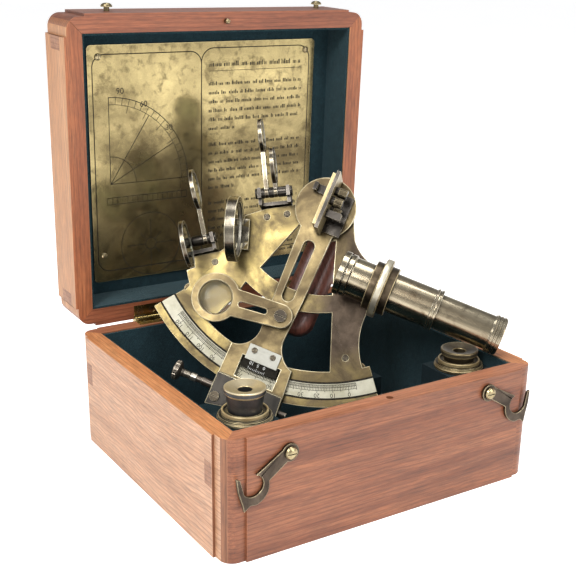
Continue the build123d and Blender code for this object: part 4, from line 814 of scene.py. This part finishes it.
# ---------- the lid's engraved plate
def plate_engraving():
    """Two framed panels: a protractor figure on the left and rows of dashes on the right."""
    low, high = extent("plaque", lid_matrix)
    ink_low, ink_high = low.z - 0.03, low.z + 0.1
    lines = Relief("plate_engraving", lid_matrix, "lid", engraving)

    def across(x, y):
        """Millimetres from the plate's top left corner, as seen from the front."""
        return low.x + x, low.y + y

    def line(start, end, width=0.5):
        lines.stroke(across(*start), across(*end), width, ink_low, ink_high)

    def ray(middle, degrees, near, far, width=0.5):
        """Line away from a middle point, between two distances from it."""
        line(*((middle[0] + x, middle[1] + y)
               for x, y in (polar(near, degrees), polar(far, degrees))), width)

    def curve(middle, radius, start, end, width=0.5):
        lines.arc(across(*middle), radius, width, start, end, ink_low, ink_high)

    def panel(left, top, right, bottom, corner=9.0, width=0.7):
        """Border of a panel, with rounded corners."""
        in_left, in_right = left + corner, right - corner
        in_top, in_bottom = top + corner, bottom - corner
        for start, end in (((in_left, top), (in_right, top)),
                           ((in_left, bottom), (in_right, bottom)),
                           ((left, in_top), (left, in_bottom)),
                           ((right, in_top), (right, in_bottom))):
            line(start, end, width)
        for x, y, start in ((in_left, in_top, 180), (in_right, in_top, 270),
                            (in_right, in_bottom, 0), (in_left, in_bottom, 90)):
            curve((x, y), corner, start, start + 90, width)

    plate_width = high.x - low.x
    plate_depth = high.y - low.y
    split = plate_width * 0.475
    panel(3.5, 6.5, split, plate_depth - 8.0)
    panel(split, 4.5, plate_width - 4.5, plate_depth - 8.0, 10.0)

    # the figure: a quarter protractor, a graduated bar under it and a wheel
    hub, outer, inner = (15.0, 98.0), 62.0, 57.0
    for radius, width in ((outer, 0.55), (inner, 0.35), (20.0, 0.45)):
        curve(hub, radius, -90, 0, width)
    for step in range(0, 91, 5):
        ray(hub, -step, 52.0 if step % 15 == 0 else inner, outer, 0.35)
    for angle, reach in ((0, outer), (-90, outer), (-28, inner), (-57, inner)):
        ray(hub, angle, 0, reach)
    for words, place in (("30", (62.0, 60.0)), ("60", (42.0, 42.0)), ("90", (24.0, 32.0))):
        lines.numeral(words, across(*place), 6.0, 0, ink_low, ink_high, from_below=True)
    bar_start, bar_end, bar_top, bar_bottom = 12.0, 76.0, 108.0, 113.0
    for y in (bar_top, bar_bottom):
        line((bar_start, y), (bar_end, y))
    for step in range(17):
        x = bar_start + 4 * step
        line((x, bar_top), (x, bar_bottom), 0.35)
    wheel = (46.0, 146.0)
    for radius in (24.0, 4.5):
        curve(wheel, radius, 0, 360, 0.45)
    for angle in range(0, 360, 45):
        ray(wheel, angle, 5, 19.0 if angle % 90 == 0 else 12.0, 0.4)

    # the rows: a heading with a rule under it and four blocks of short dashes
    draw = random.Random(7)
    left, right = split + 6.0, plate_width - 11.0
    row_pitch, block_gap, short_row, dash_gap = 6.6, 5.5, 22.0, 0.5
    rows = [(16.0, 3.6, right)]
    level = 30.0
    for block in (6, 6, 5, 3):
        for number in range(block):
            last = number == block - 1
            rows.append((level, 2.8, left + short_row if last else right))
            level += row_pitch
        level += block_gap
    line((left, 21.0), (right, 21.0), 0.35)
    for level, height, end in rows:
        x = left
        while x < end - 1.0:
            length = min(draw.uniform(2.0, 9.0), end - x)
            dash = 0.0
            while dash < length - dash_gap:
                dash_length = draw.uniform(0.5, 1.1)
                tall = height * draw.choice((0.6, 0.65, 0.7, 1.0))
                y = level + (height - tall) / 2
                line((x + dash, y), (x + min(dash + dash_length, length), y), tall)
                dash += dash_length + dash_gap
            x += length + draw.uniform(1.4, 2.2)
    lines.done()


plate_engraving()


# ---------- milled and turned trim
tube_frame = axis_frame(sextant_matrix, (0, -41.0, 24.0), (1, 0, 0))  # down the telescope
PROUD = 0.08  # rings stand this far off the CAD surface they go round


def ring(name, matrix, body, material, profile, count=64, ribs=0.0):
    """One turned ring as a piece of its own."""
    shape = Relief(name, matrix, body, material)
    shape.turned(profile, count, ribs)
    shape.done()


def grooved(inner, outer, start, end, grooves, depth=0.35):
    """Profile of a sleeve with turned grooves round it."""
    pitch = (end - start) / grooves
    profile = [(inner, start), (outer - depth, start)]
    for number in range(grooves):
        low = start + number * pitch
        profile += [(outer - depth, low + 0.25 * pitch), (outer, low + 0.35 * pitch),
                    (outer, low + 0.9 * pitch), (outer - depth, low + pitch)]
    profile += [(inner, end)]
    return profile


def telescope_trim():
    """Grooves of the eyecap, rims and bands of the tube, and the collar's pale band."""
    end = extent("telescope_draw_tube", sextant_matrix)[1].x
    ring("eyecap_grooves", tube_frame, "telescope_draw_tube", tube_brass,
         grooved(12.2, 13.3, end - 8.4, end - 1.0, 3, 0.6))
    for name, low, high, radius in (("objective_rim", 29.0, 33.0, 15.4),
                                    ("objective_band", 34.0, 37.2, 14.9),
                                    ("joint_rim", 96.5, 98.1, 14.6),
                                    ("joint_band", 99.3, 101.0, 14.6)):
        wide = radius + PROUD
        ring(name, tube_frame, "sextant", tube_brass,
             [(wide - 0.9, low), (wide - 0.25, low), (wide, low + 0.25), (wide, high - 0.25),
              (wide - 0.25, high), (wide - 0.9, high)], 160)
    ring("collar_band", tube_frame, "sextant", pale_silver,
         [(19.8, 57.6), (20.72, 57.6), (20.85, 57.9), (20.85, 61.1), (20.72, 61.4),
          (19.8, 61.4)], 128)


def tangent_trim():
    """Milled rim, thread and sleeve of the tangent screw."""
    low, high = extent("tangent_screw", sextant_matrix)
    place = axis_frame(sextant_matrix, (0, (low.y + high.y) / 2, (low.z + high.z) / 2),
                       (1, 0, 0))
    start = low.x
    ring("tangent_knob_milling", place, "tangent_screw", tangent_brass,
         [(6.3, start + 0.9), (7.0, start + 0.9), (7.0, start + 3.2), (6.3, start + 3.2)],
         96, 0.32)
    ring("tangent_thread", place, "tangent_screw", tangent_brass,
         grooved(2.0, 2.8, start + 4.6, start + 12.4, 8, 0.5))
    ring("tangent_sleeve", place, "tangent_screw", bright_steel,
         [(2.0, start + 13.0), (2.9, start + 13.0), (3.1, start + 13.3), (3.1, start + 17.2),
          (2.9, start + 17.5), (2.0, start + 17.5)])


def eyepiece_trim():
    """Turned cups and lips of the two spare eyepieces."""
    # The right eyepiece is old gold all over, its body lighter than the left one's bronze:
    # painted light.
    for side, finish in (("left", bright_brass), ("right", old_gold)):
        node = f"spare_eyepiece_{side}"
        low, high = extent(node, BASE)
        middle = (low + high) / 2
        place = axis_frame(BASE, (middle.x, middle.y, low.z), (0, 0, 1))
        ring(f"eyepiece_cup_{side}", place, node, wear_and_highlight_gold,
             [(12.9, 4.6), (14.2, 4.6), (14.2, 6.5), (13.9, 6.8), (13.3, 6.8), (12.9, 6.4)], 72)
        rim = high.z - low.z
        ring(f"eyepiece_lip_{side}", place, node, finish,
             [(11.5, rim - 1.2), (12.65, rim - 1.0), (12.65, rim - 0.3), (12.2, rim),
              (11.7, rim - 0.2)], 72)


def mirror_trim():
    """Bezels of the horizon mirror and the magnifier, and the index mirror's milled screws."""
    place = axis_frame(sextant_matrix, ring_middle, horizon_way)
    for name, near, far in (("back", -2.4, -1.5), ("front", 1.5, 2.4)):
        ring(f"horizon_bezel_{name}", place, "sextant", bright_steel,
             [(17.7, near), (19.0, near), (19.0, far), (18.2, far)], 96)
    lens = middle_of("magnifier_lens", sextant_matrix)
    place = axis_frame(sextant_matrix, (lens.x, lens.y, 0), (0, 0, 1))
    top = extent("magnifier_arm", sextant_matrix)[1].z
    ring("magnifier_bezel", place, "magnifier", arm_brass,
         [(11.6, top - 1.4), (12.3, top - 1.4), (12.5, top + 0.1), (12.0, top + 0.3),
          (11.6, top - 0.2)], 96)
    for number, (y, z) in enumerate(((10.5, 22.0), (-2.0, 11.0), (2.5, 26.0))):
        ring(f"mirror_screw_milling_{number}", axis_frame(sextant_matrix, (0, y, z), (1, 0, 0)),
             "index_arm", dark_brass, [(2.7, 7.0), (3.12, 7.0), (3.12, 12.6), (2.7, 12.6)],
             72, 0.16)


# The pins that the shades turn on: a point, the turn in degrees, and each sleeve's two ends.
SHADE_PINS = (
    ("index", (-37.9, -4.3, 10.0), 27.7,
     ((-13.2, -11.7), (-8.9, -6.6), (-3.4, -0.1), (3.1, 8.9), (11.7, 13.2))),
    ("horizon", (-69.3, -52.9, 9.0), 33.9,
     ((-19.7, -18.2), (-15.4, -13.9), (-10.7, -2.9), (0.3, 2.4), (5.2, 6.7))))


def shade_sleeves():
    """Turned sleeves on the two pivot pins of the shades, between their lugs and hubs."""
    for name, pivot, turn, sleeves in SHADE_PINS:
        place = axis_frame(sextant_matrix, pivot, (*polar(1, turn), 0))
        for number, (start, end) in enumerate(sleeves):
            ring(f"{name}_shade_sleeve_{number}", place, "sextant", dark_steel,
                 [(1.75, start), (3.4, start), (3.8, start + 0.4), (3.8, end - 0.4),
                  (3.4, end), (1.75, end)], 48)


shade_sleeves()
telescope_trim()
tangent_trim()
eyepiece_trim()
mirror_trim()


# ---------- rough edge of the felt
FELT_THICK = 1.5
FIBRES_PER_MM = 7.0
SHORTEST, SHORT_REACH = 0.3, 0.35  # a fibre's least length, and a side's least reach
HINGE_REACH = 0.8  # along the hinge, where the closed lid comes close
ROOT_DEPTH = 0.15  # how far a fibre's foot is sunk in the felt


def felt_fringe(name, node, board, matrix, body, rim_is_high):
    """Short loose fibres along the cut edge of a lining, up to the rim of the boards."""
    low, high = extent(node, matrix)
    level = high.z if rim_is_high else low.z
    rim = extent(board, matrix)[1 if rim_is_high else 0].z
    past_rim = 0.55 if rim_is_high else -0.6
    longest = max(abs(rim - level) + past_rim, SHORT_REACH)
    way = 1 if rim_is_high else -1
    draw = random.Random(len(name))
    fringe = Relief(name, matrix, body, fringe_felt)
    inset = FELT_THICK / 2
    sides = (((low.x, low.y + inset), (high.x, low.y + inset)),
             ((low.x, high.y - inset), (high.x, high.y - inset)),
             ((low.x + inset, low.y), (low.x + inset, high.y)),
             ((high.x - inset, low.y), (high.x - inset, high.y)))
    for start, end in sides:
        run = Vector(end) - Vector(start)
        along = run.normalized()
        across = Vector((-along.y, along.x))
        reach = HINGE_REACH if start[1] > (low.y + high.y) / 2 else longest
        for _ in range(int(run.length * FIBRES_PER_MM)):
            base = Vector(start) + along * draw.uniform(0.4, run.length - 0.4)
            base = base + across * draw.uniform(-0.55, 0.55)
            tip = base + along * draw.uniform(-0.7, 0.7) + across * draw.uniform(-0.35, 0.35)
            length = draw.uniform(SHORTEST, max(reach, SHORT_REACH))
            width = draw.uniform(0.09, 0.2)
            foot = [fringe.work.verts.new((base.x + width * math.cos(angle),
                                           base.y + width * math.sin(angle),
                                           level - way * ROOT_DEPTH))
                    for angle in (0.0, 2.1, 4.2)]
            top = fringe.work.verts.new((tip.x, tip.y, level + way * length))
            fringe.work.faces.new(foot)
            for i in range(3):
                fringe.work.faces.new((foot[i], foot[(i + 1) % 3], top))
    fringe.done()


felt_fringe("base_felt_fringe", "base_lining", "base_left", BASE, "box", True)
felt_fringe("lid_felt_fringe", "lid_lining", "lid_left", lid_matrix, "lid", False)


# ---------- floor, light and camera
LIGHTS_AIM = Vector((0, 0, 0.1))


def area_light(name, place, size, power):
    """A square lamp, aimed at the middle of the box."""
    data = bpy.data.lights.new(name, "AREA")
    data.size = size
    data.energy = power
    lamp = add_object(name, data)
    lamp.location = place
    lamp.rotation_euler = (LIGHTS_AIM - Vector(place)).to_track_quat("-Z", "Y").to_euler()


def studio():
    """White floor and surroundings with three lamps, for a plain product picture."""
    bpy.context.scene.view_settings.view_transform = "Standard"
    mesh = bpy.data.meshes.new("floor")
    half = 8.0
    corners = [(-half, -half, 0), (half, -half, 0), (half, half, 0), (-half, half, 0)]
    mesh.from_pydata(corners, [], [(0, 1, 2, 3)])
    floor = add_object("floor", mesh)
    shader = Shader("pale_floor")
    cloud = shader.noise(3.0, 3.0)
    shader.colour(shader.ramp(cloud, (0.3, (0.86, 0.86, 0.86)), (0.7, (0.9, 0.9, 0.9))))
    fill(shader.surface, Roughness=0.8, Emission_Color=(1, 1, 1, 1), Emission_Strength=0.6)
    mesh.materials.append(shader.material)

    world = bpy.data.worlds.new("studio")
    world.use_nodes = True
    bpy.context.scene.world = world
    tree = world.node_tree
    back = tree.nodes["Background"]
    coordinates = tree.nodes.new("ShaderNodeTexCoord")
    split = tree.nodes.new("ShaderNodeSeparateXYZ")
    ramp = tree.nodes.new("ShaderNodeValToRGB")
    set_stops(ramp, ((0.14, 1.0), (0.26, 0.34), (0.62, 0.24), (1.0, (0.55, 0.56, 0.58))))
    tree.links.new(coordinates.outputs["Generated"], split.inputs[0])
    tree.links.new(split.outputs["Z"], ramp.inputs["Fac"])
    tree.links.new(ramp.outputs["Color"], back.inputs["Color"])
    fill(back, Strength=1.1)

    area_light("key_light", (-1.1, -0.7, 1.2), 0.8, 24)
    area_light("fill_light", (0.7, -1.5, 0.9), 0.9, 13)
    area_light("top_light", (0.2, 0.1, 1.6), 0.8, 13)


def camera():
    """The photograph's view: slightly raised, toward the front left corner."""
    place = (-0.37074, -0.56613, 0.33123)
    heading, tilt, roll = (math.radians(turn) for turn in (32.5166, 19.9685, 0.8395))
    turn = (Matrix.Rotation(-heading, 4, "Z") @ Matrix.Rotation(math.pi / 2 - tilt, 4, "X")
            @ Matrix.Rotation(roll, 4, "Z"))
    data = bpy.data.cameras.new("camera")
    data.sensor_width = 36
    data.lens = 64.99
    data.shift_y = 0.0903
    data.clip_start = 0.01
    eye = add_object("camera", data)
    eye.matrix_world = Matrix.Translation(place) @ turn
    bpy.context.scene.camera = eye


studio()
camera()

bpy.context.view_layer.update()
